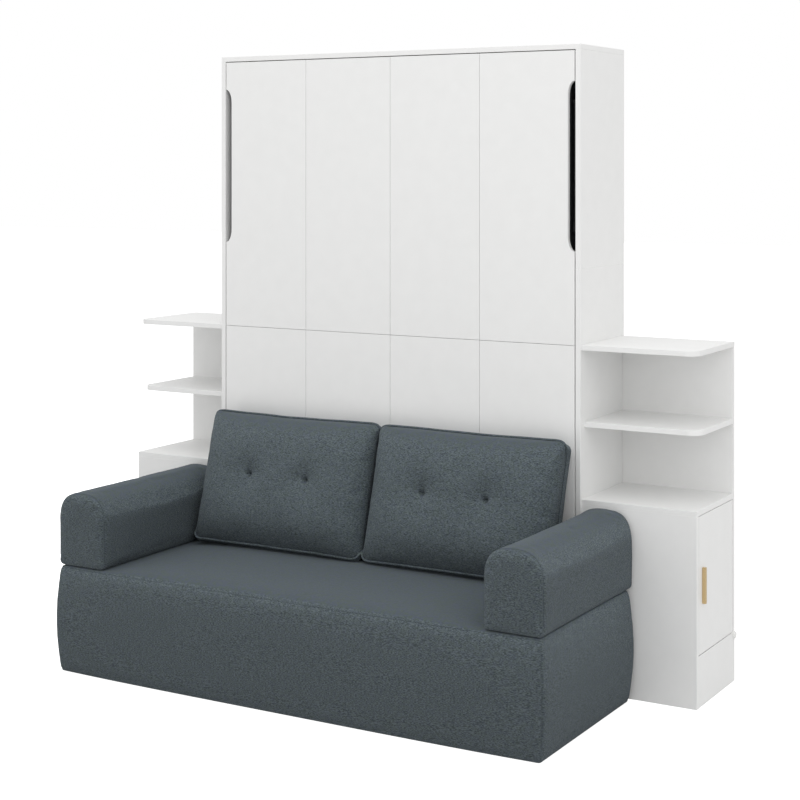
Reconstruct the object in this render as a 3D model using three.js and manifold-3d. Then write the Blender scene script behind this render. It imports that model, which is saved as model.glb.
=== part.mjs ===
// Wall bed with a sofa in front of it and a shelf unit on each side.
// Millimetres. +X runs to the right, +Y into the wall and +Z up.
// Places are given from the middle of the cabinet's front plane on the floor;
// the last group moves the whole object so that its origin is under its middle.

import * as THREE from 'three';
import { mergeVertices } from 'three/addons/utils/BufferGeometryUtils.js';
import Module from 'manifold-3d';

const wasm = await Module();
wasm.setup();

// Clearances and common sizes
const seatClearance = 0.3;
const cutOverrun = 5;
const boardThickness = 18;
const boardEasing = 0.8;
const roundFacets = 20;
const smallRoundFacets = 12;

// Cabinet that the bed folds into
const cabinetWidth = 1470;
const cabinetDepth = 375;
const cabinetHeight = 2156;
const sideSeamHeight = 1405;
const backThickness = 12;
const kickHeight = 178;

// Face panels on the underside of the bed
const faceThickness = 16;
const faceSideGap = 3.5;
const faceTopGap = 3;
const faceSeamGap = 1.2;
const faceBottom = 190;
const faceUpperDrop = 1007;
const faceColumns = 4;
const gripDrop = 123;
const gripLength = 571;
const gripDepth = 24;
const gripCurveHeight = 50;
const gripCurveFacets = 6;

// Hinge line of the bed
const pivotY = 60;
const pivotZ = 450;
const pivotPinRadius = 8;
const bracketRadius = 38;
const bracketPlate = 3;
const bracketBossRadius = 19;
const bracketBossDepth = 14;
const bracketFootHeight = 70;

// Steel bed frame
const railGapToFaceEdge = 24.5;
const railWidth = 25;
const railTubeDepth = 34;
const railWall = 3;
const railWebDepth = 47;
const railBottom = 205;
const railDrop = 36;
const crossRailHeight = 34;

// Slats and the webbing that joins them
const slatCount = 13;
const slatWidth = 60;
const slatThickness = 10;
const slatMargin = 40;
const webbingWidth = 28;
const webbingThickness = 1.5;
const webbingOffset = 400;

// Mattress and the strap that holds it when the bed is up
const mattressWidth = 1370;
const mattressDrop = 39;
const mattressThickness = 180;
const mattressBottom = 212;
const mattressEdgeRadius = 26;
const mattressCornerRadius = 55;
const mattressCrown = 5;
const mattressFacets = [12, 14, 4];
const strapWidth = 50;
const strapThickness = 1.5;
const strapDrop = 656;

// Support legs that swing down out of the grip slots
const legPivotY = 50;
const legPivotDrop = 191;
const legWidth = 20;
const legThickness = 14;
const legRailGap = 5;
const legFloorGap = 1;
const legFootHeight = 30;
const legFootGrowth = 1.5;
const legStudRadius = 5;
const legStudHeadRadius = 8;
const legStudHeadThickness = 2;

// Gas struts
const strutAnchorY = 200;
const strutAnchorZ = 1150;
const strutTailY = 100;
const strutTailZ = 250;
const strutOffset = 14;
const strutTubeRadius = 9;
const strutWall = 1.5;
const strutTubeLength = 590;
const strutBoreStart = 40;
const strutMouth = 12;
const strutShankRadius = 4.5;
const strutShankEnd = 10;
const strutShoulder = 4;
const strutRodRadius = 4;
const strutPistonLength = 14;
const strutPistonSetback = 34;
const strutEyeRadius = 9;
const strutEyeThickness = 10;
const strutStudRadius = 4;
const strutPlateThickness = 3;
const strutPlateHeight = 76;
const strutPlateWidth = 40;
const strutPlateCorner = 10;
const earHeight = 44;
const earReach = 16;

// Shelf unit beside the cabinet
const unitWidth = 404;
const unitSetback = 8;
const unitTopHeight = 1152;
const middleShelfHeight = 893;
const baseTopHeight = 638;
const kickRailHeight = 168;
const middleShelfSetback = 25;
const shelfCornerRadius = 45;
const shelfCornerFacets = 8;

// Side door, its pivots and its handle
const doorGap = 2;
const doorLift = 3;
const doorPinRadius = 3;
const doorPinLength = 14;
const doorPinClearance = 0.3;
const pivotPlateThickness = 2.5;
const pivotPlateWidth = 24;
const pivotCapRadius = 12;
const pivotCapReach = 8;
const pivotCapRim = 2;
const handleBottom = 332;
const handleLength = 117;
const handleInset = 28;
const handleWidth = 12;
const handleReach = 12;

// Sofa: seat block, loose arms and loose back cushions.
// A power says how far a swelling stays flat before it falls off towards the edge.
const swellPower = 4;
const sofaReach = 712;
const seatWidth = 1878;
const seatHeight = 366;
const seatCrown = 20;
const seatCrownPower = 6;
const seatDepthPower = 12;
const seatEdgeRadius = 16;
const seatCornerRadius = 11;
const seatDrawIn = 6;
const seatBellyPower = 2;
const seatEndFootDraw = 3;
const seatFrontFootDraw = 1;
const seatSeamFootDraw = 3;
const seatFacets = [16, 8, 6];
const seatWidthShares = [0, 0.2, 0.39, 0.55, 0.68, 0.77, 0.9, 0.975, 1];
const armWidth = 196;
const armInset = 13;
const armHeight = 254;
const armSetback = 15;
const armFootRadius = 16;
const armEndRadius = 17;
const armDomeShare = 0.46;
const armDomePower = 2.35;
const armDomeFacets = 16;
const armRingFacets = 30;
const armEndFacets = 3;
const cushionWidth = 708;
const cushionHeight = 459;
const cushionEdgeThickness = 66;
const cushionFrontCrown = 76;
const cushionBackCrown = 42;
const cushionCornerRadius = 50;
const cushionPullIn = 7;
const cushionGap = 3;
const cushionShift = 5;
const cushionFootPower = 3;
const cushionTilt = THREE.MathUtils.degToRad(16);
const tuftSpacing = 241;
const tuftRise = 4;
const tuftDepth = 19;
const tuftRadius = 46;
const cushionFacets = [22, 2, 14];

// Worked-out planes that several pieces share; a drop is measured down from the cabinet's top
const halfCabinet = cabinetWidth / 2;
const innerHalf = halfCabinet - boardThickness;
const backFront = cabinetDepth - backThickness;
const faceHalf = innerHalf - faceSideGap;
const faceTop = cabinetHeight - boardThickness - faceTopGap;
const faceSeamHeight = cabinetHeight - faceUpperDrop;
const gripTop = cabinetHeight - gripDrop;
const gripBottom = gripTop - gripLength;
const railTop = cabinetHeight - railDrop;
const legPivotZ = cabinetHeight - legPivotDrop;
const mattressLength = cabinetHeight - mattressDrop - mattressBottom;
const strapHeight = cabinetHeight - strapDrop;
const railOuter = faceHalf - railGapToFaceEdge;
const railInner = railOuter - railWidth;
const tubeBack = faceThickness + railTubeDepth;
const deckPlane = faceThickness + railWebDepth;
const strutPlane = railOuter + strutOffset;
const mattressFront = deckPlane + seatClearance;
const unitOuter = halfCabinet + unitWidth;
const unitBackFront = cabinetDepth - boardThickness;
const baseInteriorFront = unitSetback + boardThickness;
const baseInteriorTop = baseTopHeight - boardThickness;
const armInner = seatWidth / 2 - armInset - armWidth;

const sides = [
  { name: 'left', sign: -1 },
  { name: 'right', sign: 1 },
];

// Finishes
const finishes = {
  whiteBoard: { color: 0xe9e9e8, roughness: 0.45, metalness: 0 },
  blackSteel: { color: 0x17181a, roughness: 0.5, metalness: 0.6 },
  chromeRod: { color: 0xd8dade, roughness: 0.12, metalness: 1 },
  birch: { color: 0xd9bf94, roughness: 0.6, metalness: 0 },
  boucle: { color: 0x4a545a, roughness: 0.95, metalness: 0 },
  ticking: { color: 0xe8e6e0, roughness: 0.9, metalness: 0 },
  webbing: { color: 0x2b2d30, roughness: 0.85, metalness: 0 },
  brass: { color: 0xc8a873, roughness: 0.3, metalness: 1 },
  whitePlastic: { color: 0xf0f0ef, roughness: 0.4, metalness: 0 },
};

const assembly = new THREE.Group();

// Adds one finished piece to the assembly.
function addPiece(name, geometry, finish) {
  const mesh = new THREE.Mesh(geometry, new THREE.MeshStandardMaterial(finish));
  mesh.name = name;
  assembly.add(mesh);
}

// Turns a geometry into a solid that can be joined and cut.
function toSolid(geometry) {
  const bare = geometry.clone();
  bare.deleteAttribute('normal');
  bare.deleteAttribute('uv');
  const welded = mergeVertices(bare);
  return new wasm.Manifold(new wasm.Mesh({
    numProp: 3,
    vertProperties: new Float32Array(welded.attributes.position.array),
    triVerts: new Uint32Array(welded.index.array),
  }));
}

// Turns a joined or cut solid back into a geometry.
function toGeometry(solid) {
  const mesh = solid.getMesh();
  const geometry = new THREE.BufferGeometry();
  geometry.setAttribute('position', new THREE.BufferAttribute(mesh.vertProperties, 3));
  geometry.setIndex(new THREE.BufferAttribute(mesh.triVerts, 1));
  geometry.computeVertexNormals();
  return geometry;
}

// Joins the first geometry with the added ones and cuts the others away.
function joined(base, added, cut = []) {
  let solid = toSolid(base);
  for (const geometry of added) {
    solid = solid.add(toSolid(geometry));
  }
  for (const geometry of cut) {
    solid = solid.subtract(toSolid(geometry));
  }
  return toGeometry(solid);
}

// Mirrors a right-hand piece to the left when sign is negative.
function onSide(geometry, sign) {
  if (sign > 0) {
    return geometry;
  }
  const mirrored = geometry.index ? geometry : mergeVertices(geometry);
  mirrored.scale(sign, 1, 1);
  const corners = mirrored.index.array;
  for (let first = 0; first < corners.length; first += 3) {
    [corners[first], corners[first + 1]] = [corners[first + 1], corners[first]];
  }
  mirrored.computeVertexNormals();
  return mirrored;
}

// A plain box between two corners.
function block(low, high) {
  const [x0, y0, z0] = low;
  const [x1, y1, z1] = high;
  const geometry = new THREE.BoxGeometry(x1 - x0, y1 - y0, z1 - z0);
  return geometry.translate((x0 + x1) / 2, (y0 + y1) / 2, (z0 + z1) / 2);
}

// Extrudes an outline along +Z from height z0 to z1, with both rims eased.
function easedPrism(shape, z0, z1, curveSegments = 1) {
  const geometry = new THREE.ExtrudeGeometry(shape, {
    depth: z1 - z0 - 2 * boardEasing,
    bevelEnabled: true,
    bevelThickness: boardEasing,
    bevelSize: boardEasing,
    bevelOffset: -boardEasing,
    bevelSegments: 1,
    curveSegments,
  });
  return geometry.translate(0, 0, z0 + boardEasing);
}

// A rectangle whose corners are cut back by the easing of a board's edge.
function easedRectangle(x0, y0, x1, y1) {
  const shape = new THREE.Shape();
  shape.moveTo(x0 + boardEasing, y0);
  shape.lineTo(x1 - boardEasing, y0);
  shape.lineTo(x1, y0 + boardEasing);
  shape.lineTo(x1, y1 - boardEasing);
  shape.lineTo(x1 - boardEasing, y1);
  shape.lineTo(x0 + boardEasing, y1);
  shape.lineTo(x0, y1 - boardEasing);
  shape.lineTo(x0, y0 + boardEasing);
  shape.closePath();
  return shape;
}

// A melamine board with all its edges eased, between two corners.
function board(low, high) {
  const [x0, y0, z0] = low;
  const [x1, y1, z1] = high;
  return easedPrism(easedRectangle(x0, y0, x1, y1), z0, z1);
}

// A cylinder along X between two places, round the point (y, z).
function barX(x0, x1, y, z, radius, facets = roundFacets) {
  const geometry = new THREE.CylinderGeometry(radius, radius, x1 - x0, facets);
  return geometry.rotateZ(Math.PI / 2).translate((x0 + x1) / 2, y, z);
}

// A cylinder along Z between two heights, round the point (x, y).
function barZ(z0, z1, x, y, radius, facets = smallRoundFacets) {
  const geometry = new THREE.CylinderGeometry(radius, radius, z1 - z0, facets);
  return geometry.rotateX(Math.PI / 2).translate(x, y, (z0 + z1) / 2);
}

// Extrudes an outline drawn in Y and Z along X, from x0 to x1.
function plateX(shape, x0, x1, curveSegments = smallRoundFacets) {
  const geometry = new THREE.ExtrudeGeometry(shape, {
    depth: x1 - x0, bevelEnabled: false, curveSegments,
  });
  geometry.rotateX(Math.PI / 2).rotateZ(Math.PI / 2);
  return geometry.translate(x0, 0, 0);
}

// A rectangle with round corners, in the outline's own plane.
function roundedRectangle(u0, v0, u1, v1, radius) {
  const shape = new THREE.Shape();
  shape.moveTo(u0 + radius, v0);
  shape.lineTo(u1 - radius, v0);
  shape.absarc(u1 - radius, v0 + radius, radius, -Math.PI / 2, 0);
  shape.lineTo(u1, v1 - radius);
  shape.absarc(u1 - radius, v1 - radius, radius, 0, Math.PI / 2);
  shape.lineTo(u0 + radius, v1);
  shape.absarc(u0 + radius, v1 - radius, radius, Math.PI / 2, Math.PI);
  shape.lineTo(u0, v0 + radius);
  shape.absarc(u0 + radius, v0 + radius, radius, Math.PI, Math.PI * 3 / 2);
  shape.closePath();
  return shape;
}

// Cabinet: two boards on each side, a top, a back and a kick panel
function addCabinet() {
  for (const { name, sign } of sides) {
    const lower = board([innerHalf, 0, 0], [halfCabinet, cabinetDepth, sideSeamHeight]);
    addPiece(`cabinet_side_lower_${name}`, onSide(lower, sign), finishes.whiteBoard);
    const upper = board(
      [innerHalf, 0, sideSeamHeight],
      [halfCabinet, cabinetDepth, cabinetHeight - boardThickness],
    );
    addPiece(`cabinet_side_upper_${name}`, onSide(upper, sign), finishes.whiteBoard);
  }
  const top = board(
    [-halfCabinet, 0, cabinetHeight - boardThickness],
    [halfCabinet, cabinetDepth, cabinetHeight],
  );
  addPiece('cabinet_top', top, finishes.whiteBoard);
  const back = board(
    [-innerHalf, backFront, 0],
    [innerHalf, cabinetDepth, cabinetHeight - boardThickness],
  );
  addPiece('cabinet_back', back, finishes.whiteBoard);
  const kick = board([-innerHalf, 0, 0], [innerHalf, boardThickness, kickHeight]);
  addPiece('kick_panel', kick, finishes.whiteBoard);
}

// Steel bracket on the cabinet's side that carries the bed's hinge pin
function addPivotBrackets() {
  const plateFace = innerHalf - bracketPlate;
  for (const { name, sign } of sides) {
    const outline = new THREE.Shape();
    outline.moveTo(pivotY - bracketRadius, pivotZ - bracketFootHeight);
    outline.lineTo(pivotY + bracketRadius, pivotZ - bracketFootHeight);
    outline.lineTo(pivotY + bracketRadius, pivotZ);
    outline.absarc(pivotY, pivotZ, bracketRadius, 0, Math.PI);
    outline.closePath();
    const plate = plateX(outline, plateFace, innerHalf);
    const boss = barX(
      innerHalf - bracketBossDepth, plateFace + bracketPlate / 2, pivotY, pivotZ, bracketBossRadius,
    );
    const bore = barX(
      innerHalf - bracketBossDepth - cutOverrun, innerHalf + cutOverrun,
      pivotY, pivotZ, pivotPinRadius + seatClearance,
    );
    addPiece(`pivot_bracket_${name}`, onSide(joined(plate, [boss], [bore]), sign), finishes.blackSteel);
  }
}

// Outline of one face panel, with a grip slot cut into its outer edge when it has one
function faceOutline(x0, x1, z0, z1, gripSign) {
  const shape = new THREE.Shape();
  shape.moveTo(x0, z0);
  shape.lineTo(x1, z0);
  if (gripSign > 0) {
    shape.lineTo(x1, gripBottom);
    shape.absellipse(
      x1, gripBottom + gripCurveHeight, gripDepth, gripCurveHeight, -Math.PI / 2, -Math.PI, true,
    );
    shape.lineTo(x1 - gripDepth, gripTop - gripCurveHeight);
    shape.absellipse(
      x1, gripTop - gripCurveHeight, gripDepth, gripCurveHeight, Math.PI, Math.PI / 2, true,
    );
  }
  shape.lineTo(x1, z1);
  shape.lineTo(x0, z1);
  if (gripSign < 0) {
    shape.lineTo(x0, gripTop);
    shape.absellipse(
      x0, gripTop - gripCurveHeight, gripDepth, gripCurveHeight, Math.PI / 2, 0, true,
    );
    shape.lineTo(x0 + gripDepth, gripBottom + gripCurveHeight);
    shape.absellipse(
      x0, gripBottom + gripCurveHeight, gripDepth, gripCurveHeight, 0, -Math.PI / 2, true,
    );
  }
  shape.closePath();
  return shape;
}

// Face panels: two rows of four boards, screwed to the bed frame
function addFacePanels() {
  const columnPitch = 2 * faceHalf / faceColumns;
  const rows = [
    { name: 'lower', bottom: faceBottom, top: faceSeamHeight - faceSeamGap / 2 },
    { name: 'upper', bottom: faceSeamHeight + faceSeamGap / 2, top: faceTop },
  ];
  for (const row of rows) {
    for (let column = 0; column < faceColumns; column += 1) {
      const first = column === 0;
      const last = column === faceColumns - 1;
      const x0 = -faceHalf + column * columnPitch + (first ? 0 : faceSeamGap / 2);
      const x1 = -faceHalf + (column + 1) * columnPitch - (last ? 0 : faceSeamGap / 2);
      const gripSign = row.name === 'upper' ? Number(last) - Number(first) : 0;
      const shape = faceOutline(x0, x1, row.bottom, row.top, gripSign);
      const panel = easedPrism(shape, 0, faceThickness, gripCurveFacets);
      panel.rotateX(Math.PI / 2).translate(0, faceThickness, 0);
      addPiece(`face_${row.name}_${column + 1}`, panel, finishes.whiteBoard);
    }
  }
}

// Section of a side rail: a square tube with a web that stands beside the slats
function railSection() {
  const section = new THREE.Shape();
  section.moveTo(railInner, faceThickness);
  section.lineTo(railOuter, faceThickness);
  section.lineTo(railOuter, deckPlane);
  section.lineTo(railOuter - railWall, deckPlane);
  section.lineTo(railOuter - railWall, tubeBack);
  section.lineTo(railInner, tubeBack);
  section.closePath();
  const hollow = new THREE.Path();
  hollow.moveTo(railInner + railWall, faceThickness + railWall);
  hollow.lineTo(railInner + railWall, tubeBack - railWall);
  hollow.lineTo(railOuter - railWall, tubeBack - railWall);
  hollow.lineTo(railOuter - railWall, faceThickness + railWall);
  hollow.closePath();
  section.holes.push(hollow);
  return section;
}

// Side rails, each with its hinge pin, the leg's stud and the strut's ear and stud
function addSideRails() {
  const webMiddle = railOuter - railWall / 2;
  const legOuter = railOuter + legRailGap + legThickness;
  const strutStudEnd = strutPlane - strutEyeThickness / 2 - seatClearance;
  for (const { name, sign } of sides) {
    const tube = new THREE.ExtrudeGeometry(railSection(), {
      depth: railTop - railBottom, bevelEnabled: false,
    });
    tube.translate(0, 0, railBottom);
    const pin = barX(webMiddle, innerHalf - seatClearance, pivotY, pivotZ, pivotPinRadius);
    const earOutline = roundedRectangle(
      faceThickness + railWall, strutTailZ - earHeight / 2,
      strutTailY + earReach, strutTailZ + earHeight / 2, earReach,
    );
    const ear = plateX(earOutline, railOuter - seatClearance, railOuter + railWall);
    const strutStud = barX(webMiddle, strutStudEnd, strutTailY, strutTailZ, strutStudRadius);
    const legCollar = barX(
      webMiddle, railOuter + legRailGap - seatClearance, legPivotY, legPivotZ, legStudHeadRadius,
    );
    const legStud = barX(
      webMiddle, legOuter + seatClearance + legStudHeadThickness, legPivotY, legPivotZ, legStudRadius,
    );
    const legHead = barX(
      legOuter + seatClearance, legOuter + seatClearance + legStudHeadThickness,
      legPivotY, legPivotZ, legStudHeadRadius,
    );
    const inTube = block(
      [railInner + railWall, faceThickness + railWall, railBottom],
      [railOuter - railWall, tubeBack - railWall, railTop],
    );
    const rail = joined(tube, [ear, strutStud, pin, legCollar, legStud, legHead], [inTube]);
    addPiece(`side_rail_${name}`, onSide(rail, sign), finishes.blackSteel);
  }
}

// Cross rails: square tubes between the side rails, at the ends and behind the face seam
function addCrossRails() {
  const halfSpan = railInner - seatClearance;
  const rails = [
    { name: 'head_rail', bottom: railBottom },
    { name: 'mid_rail', bottom: faceSeamHeight - crossRailHeight / 2 },
    { name: 'foot_rail', bottom: railTop - crossRailHeight },
  ];
  for (const { name, bottom } of rails) {
    const section = new THREE.Shape();
    section.moveTo(faceThickness, bottom);
    section.lineTo(tubeBack, bottom);
    section.lineTo(tubeBack, bottom + crossRailHeight);
    section.lineTo(faceThickness, bottom + crossRailHeight);
    section.closePath();
    const hollow = new THREE.Path();
    hollow.moveTo(faceThickness + railWall, bottom + railWall);
    hollow.lineTo(faceThickness + railWall, bottom + crossRailHeight - railWall);
    hollow.lineTo(tubeBack - railWall, bottom + crossRailHeight - railWall);
    hollow.lineTo(tubeBack - railWall, bottom + railWall);
    hollow.closePath();
    section.holes.push(hollow);
    addPiece(name, plateX(section, -halfSpan, halfSpan), finishes.blackSteel);
  }
}

// Slats on the side rails, joined by two ribbons of webbing
function addSlats() {
  const halfSpan = railOuter - railWall - seatClearance;
  const front = tubeBack + seatClearance;
  const back = front + slatThickness;
  const firstBottom = railBottom + slatMargin;
  const lastBottom = railTop - slatMargin - slatWidth;
  const pitch = (lastBottom - firstBottom) / (slatCount - 1);
  const parts = [];
  for (const sign of [-1, 1]) {
    const middle = sign * webbingOffset;
    parts.push(block(
      [middle - webbingWidth / 2, back - webbingThickness / 2, firstBottom],
      [middle + webbingWidth / 2, back + webbingThickness / 2, lastBottom + slatWidth],
    ));
  }
  for (let slat = 1; slat < slatCount; slat += 1) {
    const bottom = firstBottom + slat * pitch;
    parts.push(block([-halfSpan, front, bottom], [halfSpan, back, bottom + slatWidth]));
  }
  const firstSlat = block([-halfSpan, front, firstBottom], [halfSpan, back, firstBottom + slatWidth]);
  addPiece('slat_set', joined(firstSlat, parts), finishes.birch);
}

// Spreads grid lines so that they crowd towards both ends of a side.
function crowded(share) {
  return Math.sin(share * Math.PI / 2);
}

// Place of a flat-lying block's surface point once its upright corners and its rims are round.
function roundedPlace(point, half, cornerRadius, rimRadius) {
  const core = new THREE.Vector2(half.x - cornerRadius, half.y - cornerRadius);
  const plan = new THREE.Vector2(point.x, point.y);
  const inner = plan.clone().clamp(core.clone().negate(), core);
  const outward = plan.clone().sub(inner);
  const reach = Math.max(Math.abs(outward.x), Math.abs(outward.y));
  if (reach > 0) {
    plan.copy(inner).addScaledVector(outward.normalize(), reach);
  }
  const inset = Math.min(half.x - Math.abs(point.x), half.y - Math.abs(point.y));
  const drop = half.z - Math.abs(point.z);
  const middle = new THREE.Vector2(Math.max(inset, rimRadius), Math.max(drop, rimRadius));
  const onRim = new THREE.Vector2(inset, drop).sub(middle);
  if (onRim.x < 0 && onRim.y < 0) {
    onRim.setLength(rimRadius).add(middle);
    const across = new THREE.Vector2(
      Math.sign(point.x) * Math.max(0, Math.abs(point.x) - half.x + rimRadius),
      Math.sign(point.y) * Math.max(0, Math.abs(point.y) - half.y + rimRadius),
    );
    plan.addScaledVector(across.normalize(), inset - onRim.x);
    return new THREE.Vector3(plan.x, plan.y, Math.sign(point.z) * (half.z - onRim.y));
  }
  return new THREE.Vector3(plan.x, plan.y, point.z);
}

// How far a face stands proud at a point: all of it in the middle, nothing at the edges
function proudShare(first, second, power, secondPower = power) {
  return (1 - Math.abs(first) ** power) * (1 - Math.abs(second) ** secondPower);
}

// How far a face that stands proud falls back again at a point, with none of it in the middle
function fallShare(first, second) {
  return 1 - proudShare(first, second, swellPower);
}

// A foam block in its cover, lying flat. Its sides stand proud of its edges and its top is crowned,
// and so is its foot unless it stands on something. placeShare spreads the grid lines across it.
function softBlock({
  size, cornerRadius, rimRadius, drawIn, drawShare, crown, crownShare, facets, flatFoot, placeShare,
}) {
  const box = new THREE.BoxGeometry(2, 2, 2, ...facets);
  box.deleteAttribute('normal');
  box.deleteAttribute('uv');
  const geometry = mergeVertices(box);
  const half = new THREE.Vector3(...size).divideScalar(2);
  const places = geometry.attributes.position;
  for (let i = 0; i < places.count; i += 1) {
    const share = new THREE.Vector3().fromBufferAttribute(places, i);
    share.set(placeShare(share.x), crowded(share.y), crowded(share.z));
    const point = roundedPlace(share.clone().multiply(half), half, cornerRadius, rimRadius);
    point.x -= share.x * drawIn * drawShare.ends(share.y, share.z);
    point.y -= share.y * drawIn * drawShare.sides(share.x, share.z);
    if (share.z === 1 || (share.z === -1 && !flatFoot)) {
      point.z += share.z * crown * crownShare(share.x, share.y);
    }
    places.setXYZ(i, point.x, point.y, point.z);
  }
  geometry.computeVertexNormals();
  return geometry;
}

// Mattress, and the strap over it that is fixed to both side rails
function addMattress() {
  const mattress = softBlock({
    size: [mattressWidth, mattressLength, mattressThickness - 2 * mattressCrown],
    cornerRadius: mattressCornerRadius,
    rimRadius: mattressEdgeRadius,
    drawIn: mattressCrown,
    drawShare: { ends: fallShare, sides: fallShare },
    crown: mattressCrown,
    crownShare: (across, along) => proudShare(across, along, swellPower),
    facets: mattressFacets,
    flatFoot: false,
    placeShare: crowded,
  });
  const middleY = mattressFront + mattressThickness / 2;
  mattress.rotateX(Math.PI / 2).translate(0, middleY, mattressBottom + mattressLength / 2);
  addPiece('mattress', mattress, finishes.ticking);

  const inside = mattressWidth / 2 + seatClearance;
  const outside = inside + strapThickness;
  const over = mattressFront + mattressThickness + seatClearance;
  const band = new THREE.Shape();
  band.moveTo(inside, mattressFront);
  band.lineTo(outside, mattressFront);
  band.lineTo(outside, over + strapThickness);
  band.lineTo(-outside, over + strapThickness);
  band.lineTo(-outside, mattressFront);
  band.lineTo(-inside, mattressFront);
  band.lineTo(-inside, over);
  band.lineTo(inside, over);
  band.closePath();
  const strap = new THREE.ExtrudeGeometry(band, { depth: strapWidth, bevelEnabled: false });
  strap.translate(0, 0, strapHeight);
  addPiece('mattress_strap', strap, finishes.webbing);
}

// Support legs: they hang beside the rails and stay upright while the bed comes down
function addSupportLegs() {
  const inner = railOuter + legRailGap;
  const outer = inner + legThickness;
  const footPlane = pivotZ + legPivotY - pivotY;
  const bottom = legPivotZ - footPlane + legFloorGap;
  for (const { name, sign } of sides) {
    const outline = new THREE.Shape();
    outline.moveTo(legPivotY - legWidth / 2, bottom);
    outline.lineTo(legPivotY + legWidth / 2, bottom);
    outline.lineTo(legPivotY + legWidth / 2, legPivotZ);
    outline.absarc(legPivotY, legPivotZ, legWidth / 2, 0, Math.PI);
    outline.closePath();
    const bar = plateX(outline, inner, outer);
    const foot = block(
      [inner - legFootGrowth, legPivotY - legWidth / 2 - legFootGrowth, bottom],
      [outer + legFootGrowth, legPivotY + legWidth / 2 + legFootGrowth, bottom + legFootHeight],
    );
    const bore = barX(
      inner - cutOverrun, outer + cutOverrun, legPivotY, legPivotZ, legStudRadius + seatClearance,
    );
    addPiece(`support_leg_${name}`, onSide(joined(bar, [foot], [bore]), sign), finishes.blackSteel);
  }
}

// A lathe profile turned round Z, hanging down from the origin.
function turned(points, facets = smallRoundFacets) {
  const profile = points.map(([radius, drop]) => new THREE.Vector2(radius, -drop)).reverse();
  return new THREE.LatheGeometry(profile, facets).rotateX(Math.PI / 2);
}

// Tilts a strut piece along the line from its anchor to the bed's ear and puts it there.
function placeStrut(geometry, sign) {
  const tilt = Math.atan2(strutAnchorY - strutTailY, strutAnchorZ - strutTailZ);
  geometry.rotateX(-tilt).translate(strutPlane, strutAnchorY, strutAnchorZ);
  return onSide(geometry, sign);
}

// The eye at a strut's end: a short ring round X, at a drop below the anchor
function strutEye(drop) {
  const half = strutEyeThickness / 2;
  const ring = barX(-half, half, 0, -drop, strutEyeRadius);
  const bore = barX(-half - cutOverrun, half + cutOverrun, 0, -drop, strutStudRadius + seatClearance);
  return { ring, bore };
}

// Gas struts: a cylinder that swings on the cabinet's stud and a rod that slides in it
function addStruts() {
  const closedLength = Math.hypot(strutAnchorY - strutTailY, strutAnchorZ - strutTailZ);
  const boreRadius = strutTubeRadius - strutWall;
  const mouthStart = strutTubeLength - strutMouth;
  const pistonEnd = strutTubeLength - strutPistonSetback;
  for (const { name, sign } of sides) {
    const tube = turned([
      [0, strutEyeRadius / 2],
      [strutShankRadius, strutEyeRadius / 2],
      [strutShankRadius, strutShankEnd],
      [strutTubeRadius, strutShankEnd + strutShoulder],
      [strutTubeRadius, strutTubeLength],
      [strutRodRadius + seatClearance, strutTubeLength],
      [strutRodRadius + seatClearance, mouthStart],
      [boreRadius, mouthStart],
      [boreRadius, strutBoreStart],
      [0, strutBoreStart],
    ]);
    const topEye = strutEye(0);
    const cylinder = joined(tube, [topEye.ring], [topEye.bore]);
    addPiece(`strut_cylinder_${name}`, placeStrut(cylinder, sign), finishes.blackSteel);

    const rodShape = turned([
      [0, pistonEnd - strutPistonLength],
      [boreRadius - seatClearance, pistonEnd - strutPistonLength],
      [boreRadius - seatClearance, pistonEnd],
      [strutRodRadius, pistonEnd],
      [strutRodRadius, closedLength],
      [0, closedLength],
    ]);
    const tailEye = strutEye(closedLength);
    const rod = joined(rodShape, [tailEye.ring], [tailEye.bore]);
    addPiece(`strut_rod_${name}`, placeStrut(rod, sign), finishes.chromeRod);
  }
}

// Steel plate on the cabinet's side with the stud that the strut's cylinder hangs on
function addStrutAnchors() {
  const plateFace = innerHalf - strutPlateThickness;
  const studEnd = strutPlane - strutEyeThickness / 2;
  for (const { name, sign } of sides) {
    const outline = roundedRectangle(
      strutAnchorY - strutPlateWidth / 2, strutAnchorZ - strutPlateHeight / 2,
      strutAnchorY + strutPlateWidth / 2, strutAnchorZ + strutPlateHeight / 2, strutPlateCorner,
    );
    const plate = plateX(outline, plateFace, innerHalf, smallRoundFacets / 2);
    const stud = barX(studEnd, innerHalf, strutAnchorY, strutAnchorZ, strutStudRadius);
    const collarEnd = strutPlane + strutEyeThickness / 2 + seatClearance;
    const collar = barX(collarEnd, innerHalf, strutAnchorY, strutAnchorZ, 2 * strutStudRadius);
    addPiece(`strut_anchor_${name}`, onSide(joined(plate, [stud, collar]), sign), finishes.blackSteel);
  }
}

// A shelf with one round corner at its outer front, from the cabinet to the unit's outer side
function cornerShelf(front, back, top) {
  const shape = new THREE.Shape();
  shape.moveTo(halfCabinet, front);
  shape.lineTo(unitOuter - shelfCornerRadius, front);
  shape.absarc(
    unitOuter - shelfCornerRadius, front + shelfCornerRadius, shelfCornerRadius, -Math.PI / 2, 0,
  );
  shape.lineTo(unitOuter, back);
  shape.lineTo(halfCabinet, back);
  shape.closePath();
  return easedPrism(shape, top - boardThickness, top, shelfCornerFacets);
}

// Place of the door's pivot line: the middle of its rounded rear edge
const doorRear = unitBackFront - seatClearance;
const doorPivotX = unitOuter - boardThickness / 2;
const doorPivotY = doorRear - boardThickness / 2;
const doorBottom = kickRailHeight + doorLift;
const doorTop = baseInteriorTop - doorGap;

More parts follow.
